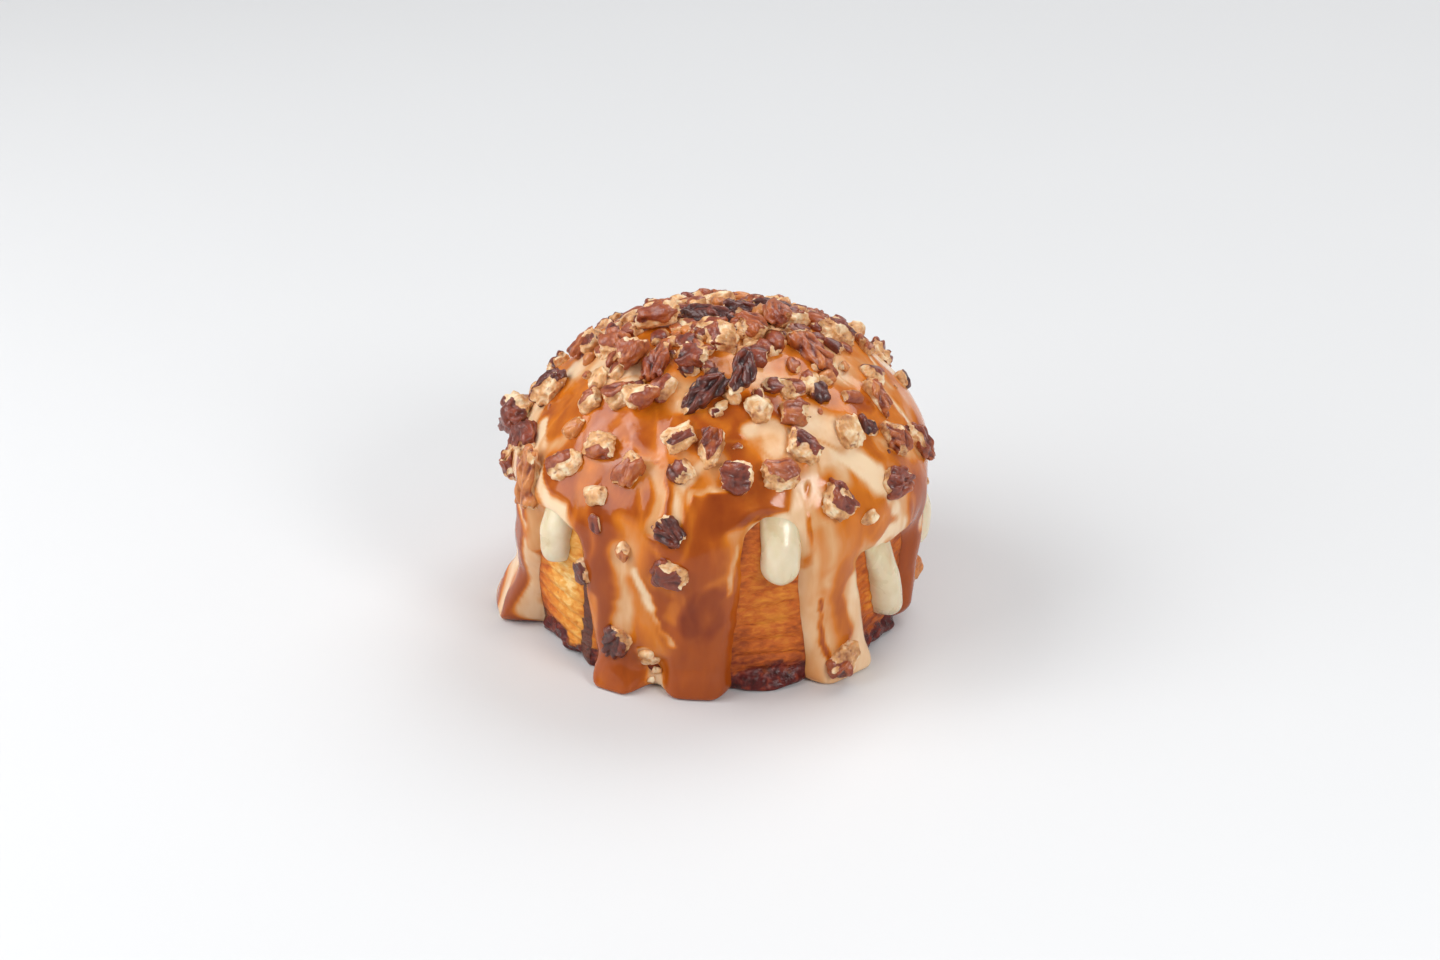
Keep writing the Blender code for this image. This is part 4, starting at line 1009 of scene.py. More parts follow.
def caramel_and_highlights_at(places):
    """How deep the caramel is at places on the coat: 0 for cream, 1 for the darkest. A few pale strokes are
    painted highlights.
    """
    ways = places - np.array((0, 0, WAIST_HEIGHT))
    ways *= WAIST_RADIUS / np.linalg.norm(ways, axis=1)[:, None]
    flowing = ways * (1, 1, MARBLE_STRETCH)
    value = MARBLE_DEPTH + MARBLE_REACH * noise_at(flowing, MARBLE_SPAN, (5, 1, 7))
    veins = noise_at(wander_at(flowing, *VEIN_WANDER), VEIN_SPAN, (3, 8, 2))
    veins = np.exp(-((veins / VEIN_WIDTH) ** 2))
    veins *= between(*VEIN_START, ways[:, 2])
    for wander in STROKE_WANDERS:
        ways = wander_at(ways, *wander)
    for stroke in STROKES:
        value = value + (stroke.depth - value) * stroke.cover(ways)
    return np.clip(value + (VEIN_DEPTH - value) * VEIN_SHARE * veins, 0, DEEPEST)


def folds_at(places):
    """Ridges and folds that run down the icing, from about -1 to 1."""
    drawn = wander_at(places * (1, 1, FOLD_STRETCH), *FOLD_WANDER, (1, 9, 4))
    ridge = 1 - 2.6 * np.abs(noise_at(drawn * (1, 1, RIDGE_STRETCH), RIDGE_SPAN, (6, 6, 2)))
    fold = noise_at(drawn, FOLD_SPAN, (8, 1, 1))
    return 0.4 * ridge + 0.8 * fold + 0.15 * noise_at(drawn, RIPPLE_SPAN)


def rounding_at(azimuth, height):
    """How much a run of icing bulges: least at its edges, most along its middle, and 0 on the crown."""
    inside = np.max([run_margin(run, azimuth, height) for run in RUNS], axis=0)
    return (between(*BULGE_SHOULDER, inside) - BULGE_SINK) * (1 - between(*BULGE_END, height))


class StickyBunIcing(bpy.types.Operator):
    """Models the coat of icing with its runs, folds and pools."""

    bl_idname = "sticky_bun.icing"
    bl_label = "Icing"

    def execute(self, context):
        settings = context.scene.sticky_bun_icing
        outline = Outline("icing", *ICING_GRID)
        icing = outline.obj
        margin = outline.margin + EDGE_WAVER * noise_at(outline.places, EDGE_WAVER_SPAN, (7, 7, 1))
        offset = coat_offset(outline.azimuth, outline.places, margin)
        covered = between(*RELIEF_START, margin)
        syrup = between(*SYRUP_EDGE, caramel_and_highlights_at(outline.moved(offset))) - 0.5
        relief = settings.syrup_step * syrup + 0.5 * settings.flow_depth * folds_at(outline.places)
        relief += settings.run_swell * rounding_at(outline.azimuth, outline.height)
        set_places(icing, outline.moved(offset + covered * relief * between(*LANDING, outline.height)))

        core = dough_ball("core", grow=CORE_GROWTH)
        below = places_of(core)
        below[below[:, 2] < CORE_FOOT, 2] -= CORE_DROP
        set_places(core, below)
        cut(icing, core)
        remove(core)
        keep_part_at(icing, int(np.argmax(places_of(icing)[:, 2])))
        paint(icing, "caramel", caramel_and_highlights_at(places_of(icing)))
        finish_piece(icing, icing_material(settings), "caramel_icing", "icing_coat")
        return {"FINISHED"}


def tongue_ball(name, top, tip, top_height, tip_height, width, thickness):
    """A rounded drip of cream that lies on the dough, from under the coat down to its tip."""
    obj = ball(name, *TONGUE_GRID)
    unit = places_of(obj) / WAIST_RADIUS
    half = width * MM / 2
    length = (top_height - tip_height) * MM
    down = length * (1 - unit[:, 2]) / 2
    height = top_height * MM - down
    azimuth = top + (tip - top) * down / length
    round_off = np.clip(np.minimum((length - down) / half, down / half), 0, 1)
    size = np.sqrt(np.maximum(0.0, 1 - (1 - round_off) ** 2))
    girth = np.maximum(np.hypot(unit[:, 0], unit[:, 1]), 1e-9)
    sideways, outwards = unit[:, 0] / girth, -unit[:, 1] / girth
    filled = TONGUE_ROOT + (1 - TONGUE_ROOT) * between(*TONGUE_FILLING, down / length)
    rise = thickness * MM * size**TONGUE_FULLNESS * filled
    aside = np.column_stack((np.cos(np.radians(azimuth)), np.sin(np.radians(azimuth)), 0 * azimuth))
    places = ways_at(azimuth) * (outline_radius(height) + rise * outwards)[:, None]
    places += aside * (half * size * sideways)[:, None]
    places[:, 2] = height
    set_places(obj, places)
    return obj


class StickyBunTongues(bpy.types.Operator):
    """Models the tongues of plain cream that hang below the coat."""

    bl_idname = "sticky_bun.tongues"
    bl_label = "Cream Tongues"

    def execute(self, context):
        material = cream_material(context.scene.sticky_bun_icing)
        core = dough_ball("core", grow=CORE_GROWTH)
        for number, sizes in enumerate(TONGUES, 1):
            top, tip = sizes[2:4]
            tongue = tongue_ball(f"tongue_{number}", *sizes)
            places = places_of(tongue)
            lumps = CREAM_LUMP * noise_at(places, CREAM_LUMP_SPAN, (number, 0, 0))
            set_places(tongue, places + normals_of(tongue) * lumps[:, None])
            # Painted shade: each tongue darkens towards its root under the coat
            paint(tongue, "root", between(*CREAM_SHADE, (places[:, 2] / MM - tip) / (top - tip)))
            cut(tongue, core)
            finish_piece(tongue, material, "plain_cream", f"cream_tongue_{number}")
        remove(core)
        return {"FINISHED"}


def surface_of(obj):
    return BVHTree.FromPolygons(
        [corner.co.copy() for corner in obj.data.vertices],
        [tuple(face.vertices) for face in obj.data.polygons],
    )


def coat_surface():
    """The coat's own surface, coarse, for the pecans to lie on."""
    outline = Outline("coat_surface", *RESTING_GRID)
    dough = bun_offset(outline.azimuth, outline.places, outline.margin)
    coat = coat_offset(outline.azimuth, outline.places, outline.margin)
    set_places(outline.obj, outline.moved(np.maximum(dough, coat)))
    found = surface_of(outline.obj)
    remove(outline.obj)
    return found


def resting_frame(surface, nut):
    """Place and directions of a piece on the bun: its length along x, the way out of the bun along z."""
    way = direction(nut.azimuth, nut.drop)
    place, out, _, _ = surface.ray_cast(Vector((0, 0, WAIST_HEIGHT)) + way * FAR_OUT * MM, -way)
    level = heading(nut.azimuth + 90)
    out = (out + way).normalized()
    level = (level - out * level.dot(out)).normalized()
    up = out.cross(level)
    turned = math.radians(nut.turn)
    along = level * math.cos(turned) + up * math.sin(turned)
    return Matrix.Translation(place) @ Matrix((along, out.cross(along), out)).transposed().to_4x4()


def apart(first, second):
    """Distance between two pieces along the coat."""
    return direction(*first[:2]).angle(direction(*second[:2]), 0.0) * WAIST_RADIUS


def scattered(rule, taken, draw, spacing=SPACING):
    """Pieces drawn by a rule, clear of those already taken."""
    count, azimuths, drops, lengths = rule
    found = []
    for _ in range(count * SCATTER_TRIES):
        if len(found) == count:
            break
        azimuth = draw.uniform(*azimuths)
        drop = math.degrees(math.acos(draw.uniform(*(math.cos(math.radians(d)) for d in drops))))
        length = draw.uniform(*lengths)
        piece = (azimuth, drop, length, length * draw.uniform(*SCATTER_WIDTHS), draw.uniform(-90, 90))
        if all(apart(piece, other) > spacing * (length + other[2]) * MM for other in taken + found):
            found.append(piece + (draw.choice(SCATTER_SHAPES),))
    return found


class Pecan:
    """One piece of pecan: where it lies, its sizes, and how its lumps and its break are drawn."""

    def __init__(self, row, draw, skin):
        self.azimuth, self.drop, self.length, self.width, self.turn, self.kind = row[:6]
        self.skin = skin
        self.is_node = self.length > NODE_LENGTH
        self.length *= MM
        self.width *= MM
        self.height = self.width * draw.uniform(*NUT_HEIGHT)
        self.start = [draw.uniform(0, NUT_DRAW_SPAN) for _ in range(3)]
        self.break_place = draw.uniform(*BREAK_PLACE)
        self.break_slant = draw.uniform(*BREAK_SLANT)

    def shape(self, unit):
        """The points of a unit sphere, laid on the piece, with its length along x and its top along z."""
        x, y, z = (np.copysign(np.abs(part) ** NUT_SQUARENESS, part) for part in unit.T)
        if self.kind == "half":
            z = np.where(z > 0, z * (1 - GROOVE_DEPTH * np.exp(-((y / GROOVE_WIDTH) ** 2))), z)
        if self.kind == "lobe":
            y = y * (1 - LOBE_TAPER * x)
            z = z * (1 - LOBE_LEAN * x)
        places = np.column_stack((x * self.length, y * self.width, z * self.height)) / 2
        places *= (1 + NUT_LUMP * noise_at(places, NUT_LUMP_SPAN, self.start))[:, None]
        places *= (1 + KNUCKLE * noise_at(places, KNUCKLE_SPAN, self.start[::-1]))[:, None]
        tear = BREAK_TEAR * noise_at(places * (0.3, 1, 1), BREAK_TEAR_SPAN, self.start)
        broken = np.zeros(len(places))
        x = places[:, 0]
        if self.kind != "lobe":
            limit = self.break_place * self.length + self.break_slant * places[:, 2] + tear
            broken = np.maximum(broken, between(*BREAK_EDGE, x - limit))
            x[:] = np.where(x > limit, limit + BREAK_LEFT * (x - limit), x)
        if self.kind == "chunk":
            limit = -self.break_place * self.length + self.break_slant * places[:, 1] - tear
            broken = np.maximum(broken, between(*BREAK_EDGE, limit - x))
            x[:] = np.where(x < limit, limit + BREAK_LEFT * (x - limit), x)
        places, chipped = self.chip(places, tear)
        broken = np.maximum(broken, chipped)
        places[:, 0] *= self.length / np.ptp(places[:, 0])
        places[:, 1] *= self.width / np.ptp(places[:, 1])
        places[:, 2] += (0.5 - NUT_SINK) * self.height
        return places, broken

    def chip(self, places, tear):
        """Breaks some corners off along rough slanting faces, and tells where."""
        draw = random.Random(self.start[1])
        broken = np.zeros(len(places))
        for _ in range(CHIPS):
            turn = draw.uniform(0, 2 * math.pi)
            face = np.array((math.cos(turn), math.sin(turn), draw.uniform(*CHIP_RISE)))
            face /= np.linalg.norm(face)
            reach = places @ face
            over = reach - draw.uniform(*CHIP_PLACE) * reach.max() - tear
            broken = np.maximum(broken, between(*CHIP_EDGE, over))
            places = places - np.outer(CHIP_CUT * np.maximum(over, 0), face)
        return places, broken


def layout():
    """Every pecan piece of the CAD model, in the order in which it was made."""
    draw = random.Random(SEED)
    rows = list(PIECES)
    for rule in (BACK_PIECES, BACK_BITS, CROWN_BITS, FRONT_BITS):
        rows += scattered(rule, rows, draw)
    rows.sort(key=lambda row: row[2] <= NODE_LENGTH)
    skins = random.Random(SEED + 1)
    return [Pecan(row, draw, row[6] if len(row) > 6 else skins.choice(SCATTERED_SKINS)) for row in rows]


def make_pecan(name, template, nut, resting, settings):
    """One finished piece of pecan in the frame it rests in, with its skin and its broken flesh."""
    obj = copy_of(template, name)
    unit = places_of(obj)
    unit /= np.linalg.norm(unit, axis=1)[:, None]
    places, broken = nut.shape(unit)
    set_places(obj, places)
    normals = normals_of(obj)

    cover, tone = SKINS[nut.skin]
    draw = random.Random(nut.start[0])
    side = draw.uniform(0, 2 * math.pi)
    lean = HALF_LEAN if nut.kind == "half" else draw.uniform(*OTHER_LEAN)
    facing = np.array((lean * math.cos(side), lean * math.sin(side), 1.0))
    facing /= np.linalg.norm(facing)
    patches = noise_at(places, SKIN_PATCH_SPAN, nut.start)
    patches = patches + 0.12 * noise_at(places, SKIN_SPECK_SPAN, nut.start)
    skin = between(*SKIN_EDGE, unit @ facing + cover + 0.5 * patches - 0.9 * broken)

    drawn = wander_at(places, *WRINKLE_WANDER, nut.start)
    pitch = settings.wrinkle_pitch
    grooves = 1 - 2.4 * np.abs(noise_at(drawn * (0.3, 1, 1), 0.9 * pitch, nut.start[::-1]))
    if nut.kind == "half":
        across = 0.35 * drawn[:, 0] + 0.9 * np.abs(drawn[:, 1])
        grooves = 0.6 * grooves + 0.7 * np.cos(2 * math.pi * across / pitch)
    wrinkle = grooves + 0.5 * noise_at(drawn * (0.6, 1, 1), 0.4 * pitch, nut.start)
    coarse, fine = (noise_at(places, span, nut.start) for span in CRUMBLE_SPANS)
    crumble = coarse + 0.7 * fine
    relief = skin * settings.wrinkle_depth * wrinkle + (1 - skin) * settings.crumble * 1.4 * crumble
    relief += SKIN_THICKNESS * (skin - 0.5)
    places = places + normals * (relief * min(1.0, nut.width / FULL_RELIEF_WIDTH))[:, None]

    paint(obj, "skin", skin)
    paint(obj, "tone", np.full(len(places), tone) + 0.3 * noise_at(places, TONE_SPAN, nut.start))
    # Painted shade: creases in the skin and hollows in the broken flesh are darkened
    paint(obj, "crease_shade", skin * between(0.35, -0.75, wrinkle) + (1 - skin) * between(-0.3, -1.1, crumble))
    set_places(obj, places)
    obj.data.transform(resting)
    return obj


def top_of(surface, resting, reach=20 * MM):
    """How high a CAD piece stands over its resting place, or nothing where it has been left out."""
    out = resting.col[2].to_3d()
    hit = surface.ray_cast(resting.translation + out * reach, -out)
    return reach - hit[3] if hit[0] else None


def raise_to(obj, resting, surface):
    """Raises a piece along its own way out until its top is as high as the CAD's piece."""
    wanted = top_of(surface, resting)
    own = top_of(surface_of(obj), resting)
    if wanted is not None and own is not None:
        obj.data.transform(Matrix.Translation(resting.col[2].to_3d() * (wanted - own)))


def template_nut(subdivisions):
    """A plain ball, whose copies become pecans."""
    bpy.ops.object.select_all(action="DESELECT")
    bpy.ops.mesh.primitive_ico_sphere_add(subdivisions=subdivisions, radius=1)
    return bpy.context.object


class StickyBunPecans(bpy.types.Operator):
    """Models the pecan pieces that are separate nodes, each at its place on the coat."""

    bl_idname = "sticky_bun.pecans"
    bl_label = "Pecan Pieces"

    def execute(self, context):
        settings = context.scene.sticky_bun_pecans
        material = pecan_material(settings)
        surface = coat_surface()
        template = template_nut(NODE_FACES)
        nuts = [nut for nut in layout() if nut.is_node]
        for number, nut in enumerate(nuts, 1):
            node = f"pecan_{number:02d}"
            resting = resting_frame(surface, nut)
            obj = make_pecan(f"nut_{number:02d}", template, nut, resting, settings)
            raise_to(obj, resting, surface_of(frame["nodes"][node]))
            finish_piece(obj, material, "pecan", node, angle=75)
        remove(template)
        return {"FINISHED"}


class StickyBunBits(bpy.types.Operator):
    """Models the small bits of pecan on the coat, and the crumbs between them."""

    bl_idname = "sticky_bun.bits"
    bl_label = "Pecan Bits and Crumbs"

    def execute(self, context):
        settings = context.scene.sticky_bun_pecans
        surface = coat_surface()
        self.join(self.bits(surface, settings), "pecan_bits", settings, "icing_coat")
        self.join(self.crumbs(surface, settings), "pecan_crumbs", settings)
        return {"FINISHED"}

    def bits(self, surface, settings):
        """The bits that the CAD model has fused to the coat, each as high as there."""
        cad_coat = surface_of(frame["nodes"]["icing_coat"])
        template = template_nut(BIT_FACES)
        found = []
        for nut in layout():
            if nut.is_node:
                continue
            resting = resting_frame(surface, nut)
            if top_of(cad_coat, resting) > LEAST_BIT:
                found.append(make_pecan("bit", template, nut, resting, settings))
                raise_to(found[-1], resting, cad_coat)
        remove(template)
        return found

    def crumbs(self, surface, settings):
        """The crumbs scattered on the coat, and those in the front sheet's notch."""
        template = template_nut(CRUMB_FACES)
        draw = random.Random(SEED + 2)
        rows = list(PIECES)
        for rule in (CROWN_CRUMBS, SIDE_CRUMBS):
            rows += scattered(rule, rows, draw, CRUMB_SPACING)
        nuts = [Pecan(row, draw, draw.choice(SCATTERED_SKINS)) for row in rows[len(PIECES):]]
        nuts = [nut for nut in nuts if self.is_covered(nut, surface)]
        nuts += [Pecan(row, draw, "pale") for row in NOTCH_CRUMBS]
        found = [make_pecan("crumb", template, nut, resting_frame(surface, nut), settings) for nut in nuts]
        remove(template)
        return found

    def is_covered(self, nut, surface):
        """Whether the place of a crumb lies well inside the coat's edge."""
        height = resting_frame(surface, nut).translation.z
        return coat_margin(np.array([nut.azimuth]), height)[0] >= CRUMB_MARGIN

    def join(self, pieces, name, settings, *nodes):
        select_only(*pieces)
        bpy.ops.object.join()
        joined = bpy.context.object
        joined.name = joined.data.name = name
        finish_piece(joined, pecan_material(settings), "pecan", *nodes, angle=75)


def feed(tree, socket, value):
    """Links an input to the socket that feeds it, or sets it to a plain value."""
    if isinstance(value, bpy.types.NodeSocket):
        tree.links.new(value, socket)
    else:
        socket.default_value = value


def put(tree, kind, values=None, **settings):
    """A shader node with its settings, and its inputs given by value or by the socket that feeds them."""
    found = tree.nodes.new(kind)
    for name, value in settings.items():
        setattr(found, name, value)
    for name, value in (values or {}).items():
        feed(tree, found.inputs[name], value)
    return found


def ramp(tree, fac, *stops):
    """A colour ramp fed by a value. Each stop is a position and a colour, linear or of six digits."""
    found = put(tree, "ShaderNodeValToRGB", {"Fac": fac})
    elements = found.color_ramp.elements
    while len(elements) < len(stops):
        elements.new(1.0)
    for element, (position, colour) in zip(elements, stops):
        element.position = position
        element.color = linear(colour) if isinstance(colour, str) else colour
    return found.outputs["Color"]


def grey(tree, fac, *stops):
    """A grey ramp, for a roughness or a mask. Each stop is a position and a value."""
    return ramp(tree, fac, *((position, (value, value, value, 1)) for position, value in stops))


def attribute(tree, name):
    return put(tree, "ShaderNodeAttribute", attribute_name=name).outputs["Fac"]


def mix(tree, kind, fac, first, second):
    """Two colours, blended by a mask. The node's inputs 6 and 7 are its two colours, and output 2 theirs."""
    values = {"Factor": fac, 6: first, 7: second}
    return put(tree, "ShaderNodeMix", values, data_type="RGBA", blend_type=kind).outputs[2]


def sum_of(tree, first, second, factor=1.0):
    """First plus second times a factor."""
    values = {0: second, 1: factor, 2: first}
    return put(tree, "ShaderNodeMath", values, operation="MULTIPLY_ADD").outputs[0]


def grain_group():
    """Uneven grain on Object coordinates, drawn out by a stretch, from about -0.5 to 0.5."""
    found = bpy.data.node_groups.get("Uneven grain")
    if found:
        return found
    found = bpy.data.node_groups.new("Uneven grain", "ShaderNodeTree")
    for name, kind, value in (("Scale", "NodeSocketFloat", 200.0), ("Stretch", "NodeSocketVector", (1, 1, 1)),
                              ("Detail", "NodeSocketFloat", 3.0), ("Warp", "NodeSocketFloat", 0.4)):
        found.interface.new_socket(name, in_out="INPUT", socket_type=kind).default_value = value
    found.interface.new_socket("Value", in_out="OUTPUT", socket_type="NodeSocketFloat")
    enter = found.nodes.new("NodeGroupInput")
    leave = found.nodes.new("NodeGroupOutput")
    place = put(found, "ShaderNodeTexCoord").outputs["Object"]
    stretched = put(found, "ShaderNodeVectorMath", operation="MULTIPLY")
    found.links.new(place, stretched.inputs[0])
    found.links.new(enter.outputs["Stretch"], stretched.inputs[1])
    grain = put(found, "ShaderNodeTexNoise", {
        "Vector": stretched.outputs[0], "Scale": enter.outputs["Scale"], "Detail": enter.outputs["Detail"],
        "Distortion": enter.outputs["Warp"],
    })
    centred = put(found, "ShaderNodeMath", {0: grain.outputs["Fac"], 1: 0.5}, operation="SUBTRACT")
    found.links.new(centred.outputs[0], leave.inputs["Value"])
    return found


def grain(tree, scale, stretch=(1, 1, 1), detail=3.0, warp=0.4):
    """The uneven grain, at a scale of its own."""
    values = {"Scale": scale, "Stretch": stretch, "Detail": detail, "Warp": warp}
    return put(tree, "ShaderNodeGroup", values, node_tree=grain_group()).outputs["Value"]


def new_material(name, **values):
    """A material, its node tree and its shader, with plain values set on the shader's own sockets."""
    found = bpy.data.materials.new(name)
    found.use_nodes = True
    shader = found.node_tree.nodes["Principled BSDF"]
    for socket, value in values.items():
        shader.inputs[socket.replace("_", " ")].default_value = value
    return found, found.node_tree, shader


def dress(tree, shader, colour, roughness, height, strength, distance):
    """Feeds the shader its colour, its roughness, and its finest relief as a bump."""
    bump = put(tree, "ShaderNodeBump", {"Height": height, "Strength": strength, "Distance": distance})
    tree.links.new(colour, shader.inputs["Base Color"])
    tree.links.new(roughness, shader.inputs["Roughness"])
    tree.links.new(bump.outputs["Normal"], shader.inputs["Normal"])


def dough_material(settings):
    """Baked dough: golden flakes over an orange-brown crust, burnt at the foot, with caramel soaked in and
    painted shade under the icing, and painted shade towards the foot and in tiny holes.
    """
    material, tree, shader = new_material(
        "Baked dough", Subsurface_Weight=0.08, Subsurface_Scale=0.002, Specular_IOR_Level=0.3,
    )
    flake = sum_of(tree, 0.34, attribute(tree, "flake"), 0.25)
    flake = sum_of(tree, flake, grain(tree, 420, (1, 1, 2.0), 5), 0.75)
    # Painted shade: darker under the icing and towards the foot, added to the golden window
    for name, factor in (("golden", 0.4), ("shade", -0.16), ("low_shade", -0.22)):
        flake = sum_of(tree, flake, attribute(tree, name), factor)
    flake = sum_of(tree, flake, grain(tree, 90, (1, 1, 1.7), 3), 0.5)
    baked = ramp(tree, flake, (0.05, "7a2c0c"), (0.40, settings.crust), (0.66, "dc892c"),
                 (0.85, settings.gold), (1.0, "f4cf8c"))
    # Painted shade: small dark specks stand in for the shade inside tiny holes in the crust
    hole_shade = sum_of(tree, 0.5, grain(tree, 520, (1, 1, 2.4), 2), 1.0)
    baked = mix(tree, "MULTIPLY", grey(tree, hole_shade, (0.16, 0.9), (0.26, 0.0)), baked, linear("a05a30"))
    scorch = sum_of(tree, attribute(tree, "scorch"), grain(tree, 700, detail=4), 0.8)
    mask = grey(tree, scorch, (0.25, 0.0), (0.75, 1.0))
    burnt = sum_of(tree, 0.5, grain(tree, 420), 1.6)
    sugar = ramp(tree, burnt, (0.2, settings.scorched), (0.55, "5c1a16"), (0.9, "96402a"))
    relief = sum_of(tree, flake, grain(tree, 1500, (1, 1, 2), 4), 0.6)
    dress(tree, shader, mix(tree, "MIX", mask, baked, sugar), grey(tree, mask, (0.0, 0.58), (1.0, 0.16)),
          relief, 0.5, 0.6 * MM)
    return material


def filling_material(settings):
    """Cinnamon filling: dark, sugary and slightly wet."""
    material, tree, shader = new_material("Cinnamon filling", Coat_Weight=0.2, Coat_Roughness=0.3)
    spice = sum_of(tree, 0.5, grain(tree, 900, detail=5), 1.3)
    colour = ramp(tree, spice, (0.3, settings.filling), (0.6, "6e331c"), (0.8, "24100b"))
    dress(tree, shader, colour, grey(tree, spice, (0.2, 0.3), (0.8, 0.6)), spice, 0.7, 0.8 * MM)
    return material


def icing_material(settings):
    """Icing: cream marbled with translucent caramel, glossy all over, with some painted highlights among its
    strokes.
    """
    material, tree, shader = new_material(
        "Caramel icing", Subsurface_Weight=0.08, Subsurface_Scale=0.002, Subsurface_Radius=(1.0, 0.4, 0.15),
        Specular_IOR_Level=0.36,
    )
    depth = sum_of(tree, attribute(tree, "caramel"), grain(tree, 150, (1, 1, 0.3), 2, 0.8), 0.30)
    depth = sum_of(tree, depth, grain(tree, 420, (1, 1, 0.3), 2, 0.5), 0.10)
    colour = ramp(tree, depth, (0.04, settings.cream), (0.30, settings.toffee), (0.48, settings.amber),
                  (0.68, settings.caramel), (0.95, settings.deep))
    dress(tree, shader, colour, grey(tree, depth, (0.0, 0.22), (0.7, 0.13)),
          grain(tree, 260, (1, 1, 0.5), 2), 0.12, 0.8 * MM)
    return material


def cream_material(settings):
    """Plain cream: ivory, smooth, a little translucent, with painted shade darkening its root under the coat.
    """
    material, tree, shader = new_material(
        "Plain cream", Subsurface_Weight=0.25, Subsurface_Scale=0.003, Coat_Weight=0.25, Coat_Roughness=0.1,
    )
    patch = sum_of(tree, 0.62, grain(tree, 150, (1, 1, 0.6), 4), 1.3)
    # Painted shade: the root of the tongue is darker, under the coat
    patch = sum_of(tree, patch, attribute(tree, "root"), -0.30)
    colour = ramp(tree, patch, (0.12, "c29c6c"), (0.45, settings.ivory), (0.85, "ede0c4"))
    dress(tree, shader, colour, grey(tree, patch, (0.2, 0.2), (0.8, 0.34)), grain(tree, 500), 0.1, 0.5 * MM)
    return material


def pecan_material(settings):
    """Toasted pecan: wrinkled skin from dark to orange, rough tan flesh where it broke, and painted shade in
    its creases.
    """
    found = bpy.data.materials.get("Toasted pecan")
    if found:
        return found
    material, tree, shader = new_material(
        "Toasted pecan", Subsurface_Weight=0.08, Subsurface_Scale=0.001, Coat_Weight=0.3, Coat_Roughness=0.2,
    )
    mottle = grain(tree, 620, detail=4)
    tone = sum_of(tree, attribute(tree, "tone"), mottle, 0.7)
    skin = ramp(tree, tone, (0.0, settings.dark_skin), (0.4, "8a3a20"), (0.7, settings.red_skin),
                (1.0, settings.orange_skin))
    stain = sum_of(tree, sum_of(tree, 0.5, grain(tree, 260, detail=2), 1.5), mottle, 0.6)
    flesh = ramp(tree, stain, (0.12, "9c5a2e"), (0.46, settings.flesh), (0.8, "fbe6c0"))
    edge = sum_of(tree, attribute(tree, "skin"), grain(tree, 1400, detail=3), 0.12)
    mask = grey(tree, edge, (0.4, 0.0), (0.6, 1.0))
    # Painted shade: the creases are multiplied darker
    colour = mix(tree, "MULTIPLY", attribute(tree, "crease_shade"), mix(tree, "MIX", mask, flesh, skin),
                 linear("9a5f42"))
    relief = sum_of(tree, mottle, grain(tree, 2200, detail=2), 0.5)
    dress(tree, shader, colour, grey(tree, mask, (0.0, 0.52), (1.0, 0.36)), relief, 0.45, 0.6 * MM)
    return material


def add_light(name, place, size, power):
    """A square softbox at a place, facing the bun."""
    data = bpy.data.lights.new(name, "AREA")
    data.size = size
    data.energy = power
    found = bpy.data.objects.new(name, data)
    found.location = place
    found.rotation_euler = (Vector((0, 0, WAIST_HEIGHT)) - Vector(place)).to_track_quat("-Z", "Y").to_euler()
    bpy.context.scene.collection.objects.link(found)


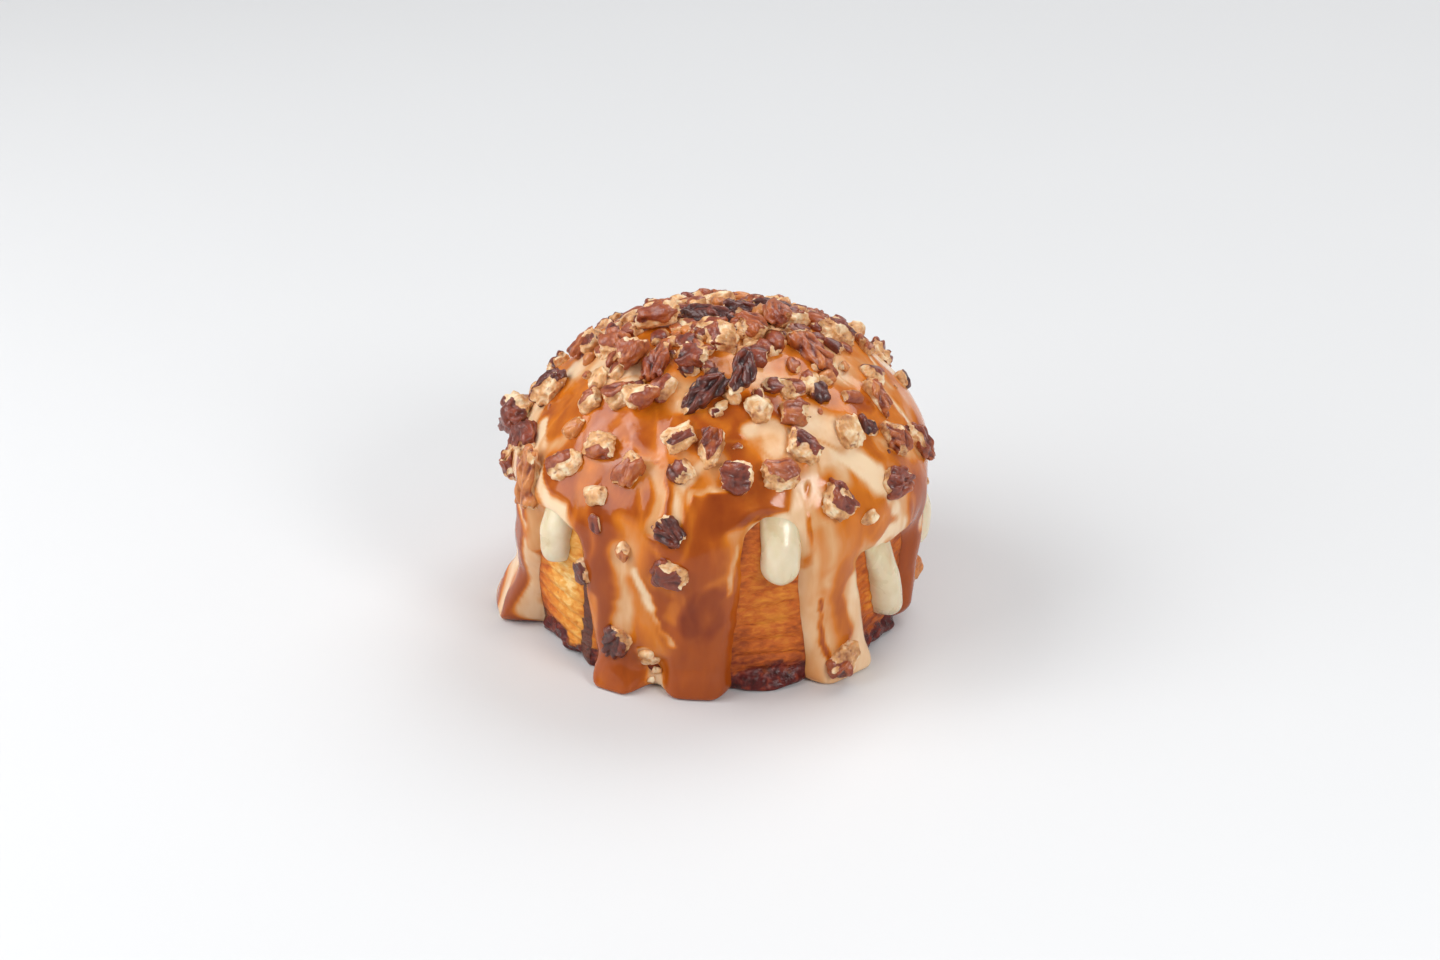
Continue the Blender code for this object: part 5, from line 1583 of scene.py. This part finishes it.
class StickyBunStage(bpy.types.Operator):
    """Sets the pale floor, the soft studio lights and the camera."""

    bl_idname = "sticky_bun.stage"
    bl_label = "Stage"

    CAMERA_LENS = 70.0
    CAMERA_ELEVATION = 28.0
    CAMERA_DISTANCE = 0.756
    CAMERA_AIM = 0.036
    FLOOR_SIZE = 5.0

    def execute(self, context):
        settings = context.scene.sticky_bun_stage
        bpy.ops.object.select_all(action="DESELECT")
        bpy.ops.mesh.primitive_plane_add(size=self.FLOOR_SIZE)
        floor = context.object
        floor.name = "floor"
        material, tree, shader = new_material("Pale floor", Roughness=0.6)
        pale = ramp(tree, sum_of(tree, 0.5, grain(tree, 3)), (0.0, settings.floor), (1.0, "dfe0e1"))
        tree.links.new(pale, shader.inputs["Base Color"])
        floor.data.materials.append(material)

        add_light("key", (0.62, 0.76, 1.28), 1.05, 1.85 * settings.key)
        add_light("upper window", (-0.68, 0.08, 0.80), 0.50, 0.85 * settings.windows)
        add_light("left window", (-0.74, -0.30, 0.52), 0.65, 1.1 * settings.windows)
        add_light("right window", (0.55, -0.64, 0.56), 0.30, 0.95 * settings.windows)
        world = bpy.data.worlds.new("Studio")
        world.use_nodes = True
        background = world.node_tree.nodes["Background"]
        background.inputs["Color"].default_value = linear("fafafc")
        background.inputs["Strength"].default_value = settings.sky
        context.scene.world = world
        context.scene.view_settings.view_transform = "Standard"

        data = bpy.data.cameras.new("camera")
        data.lens = self.CAMERA_LENS
        camera = bpy.data.objects.new("camera", data)
        elevation = math.radians(self.CAMERA_ELEVATION)
        back = Vector((0, -math.cos(elevation), math.sin(elevation)))
        camera.location = Vector((0, 0, self.CAMERA_AIM)) + back * self.CAMERA_DISTANCE
        camera.rotation_euler = (math.pi / 2 - elevation, 0, 0)
        context.scene.collection.objects.link(camera)
        context.scene.camera = camera
        return {"FINISHED"}


class StickyBunPanel(bpy.types.Panel):
    """Lists the steps that make the bun and their settings."""

    bl_idname = "STICKYBUN_PT_steps"
    bl_label = "Sticky Bun"
    bl_space_type = "VIEW_3D"
    bl_region_type = "UI"
    bl_category = "Sticky Bun"

    def draw(self, context):
        for operator in OPERATORS:
            self.layout.operator(operator.bl_idname)
        for name, group in SETTINGS.items():
            box = self.layout.box()
            for entry in group.__annotations__:
                box.prop(getattr(context.scene, name), entry)


SETTINGS = {
    "sticky_bun_dough": DoughSettings,
    "sticky_bun_icing": IcingSettings,
    "sticky_bun_pecans": PecanSettings,
    "sticky_bun_stage": StageSettings,
}
OPERATORS = (StickyBunDough, StickyBunIcing, StickyBunTongues, StickyBunPecans, StickyBunBits, StickyBunStage)


def register():
    for found in (*SETTINGS.values(), *OPERATORS, StickyBunPanel):
        bpy.utils.register_class(found)
    for name, group in SETTINGS.items():
        setattr(bpy.types.Scene, name, bpy.props.PointerProperty(type=group))


def unregister():
    for name in SETTINGS:
        delattr(bpy.types.Scene, name)
    for found in reversed((*SETTINGS.values(), *OPERATORS, StickyBunPanel)):
        bpy.utils.unregister_class(found)


def main():
    register()
    bpy.ops.sticky_bun.dough()
    bpy.ops.sticky_bun.icing()
    bpy.ops.sticky_bun.tongues()
    bpy.ops.sticky_bun.pecans()
    bpy.ops.sticky_bun.bits()
    bpy.ops.sticky_bun.stage()


if __name__ == "__main__":
    main()
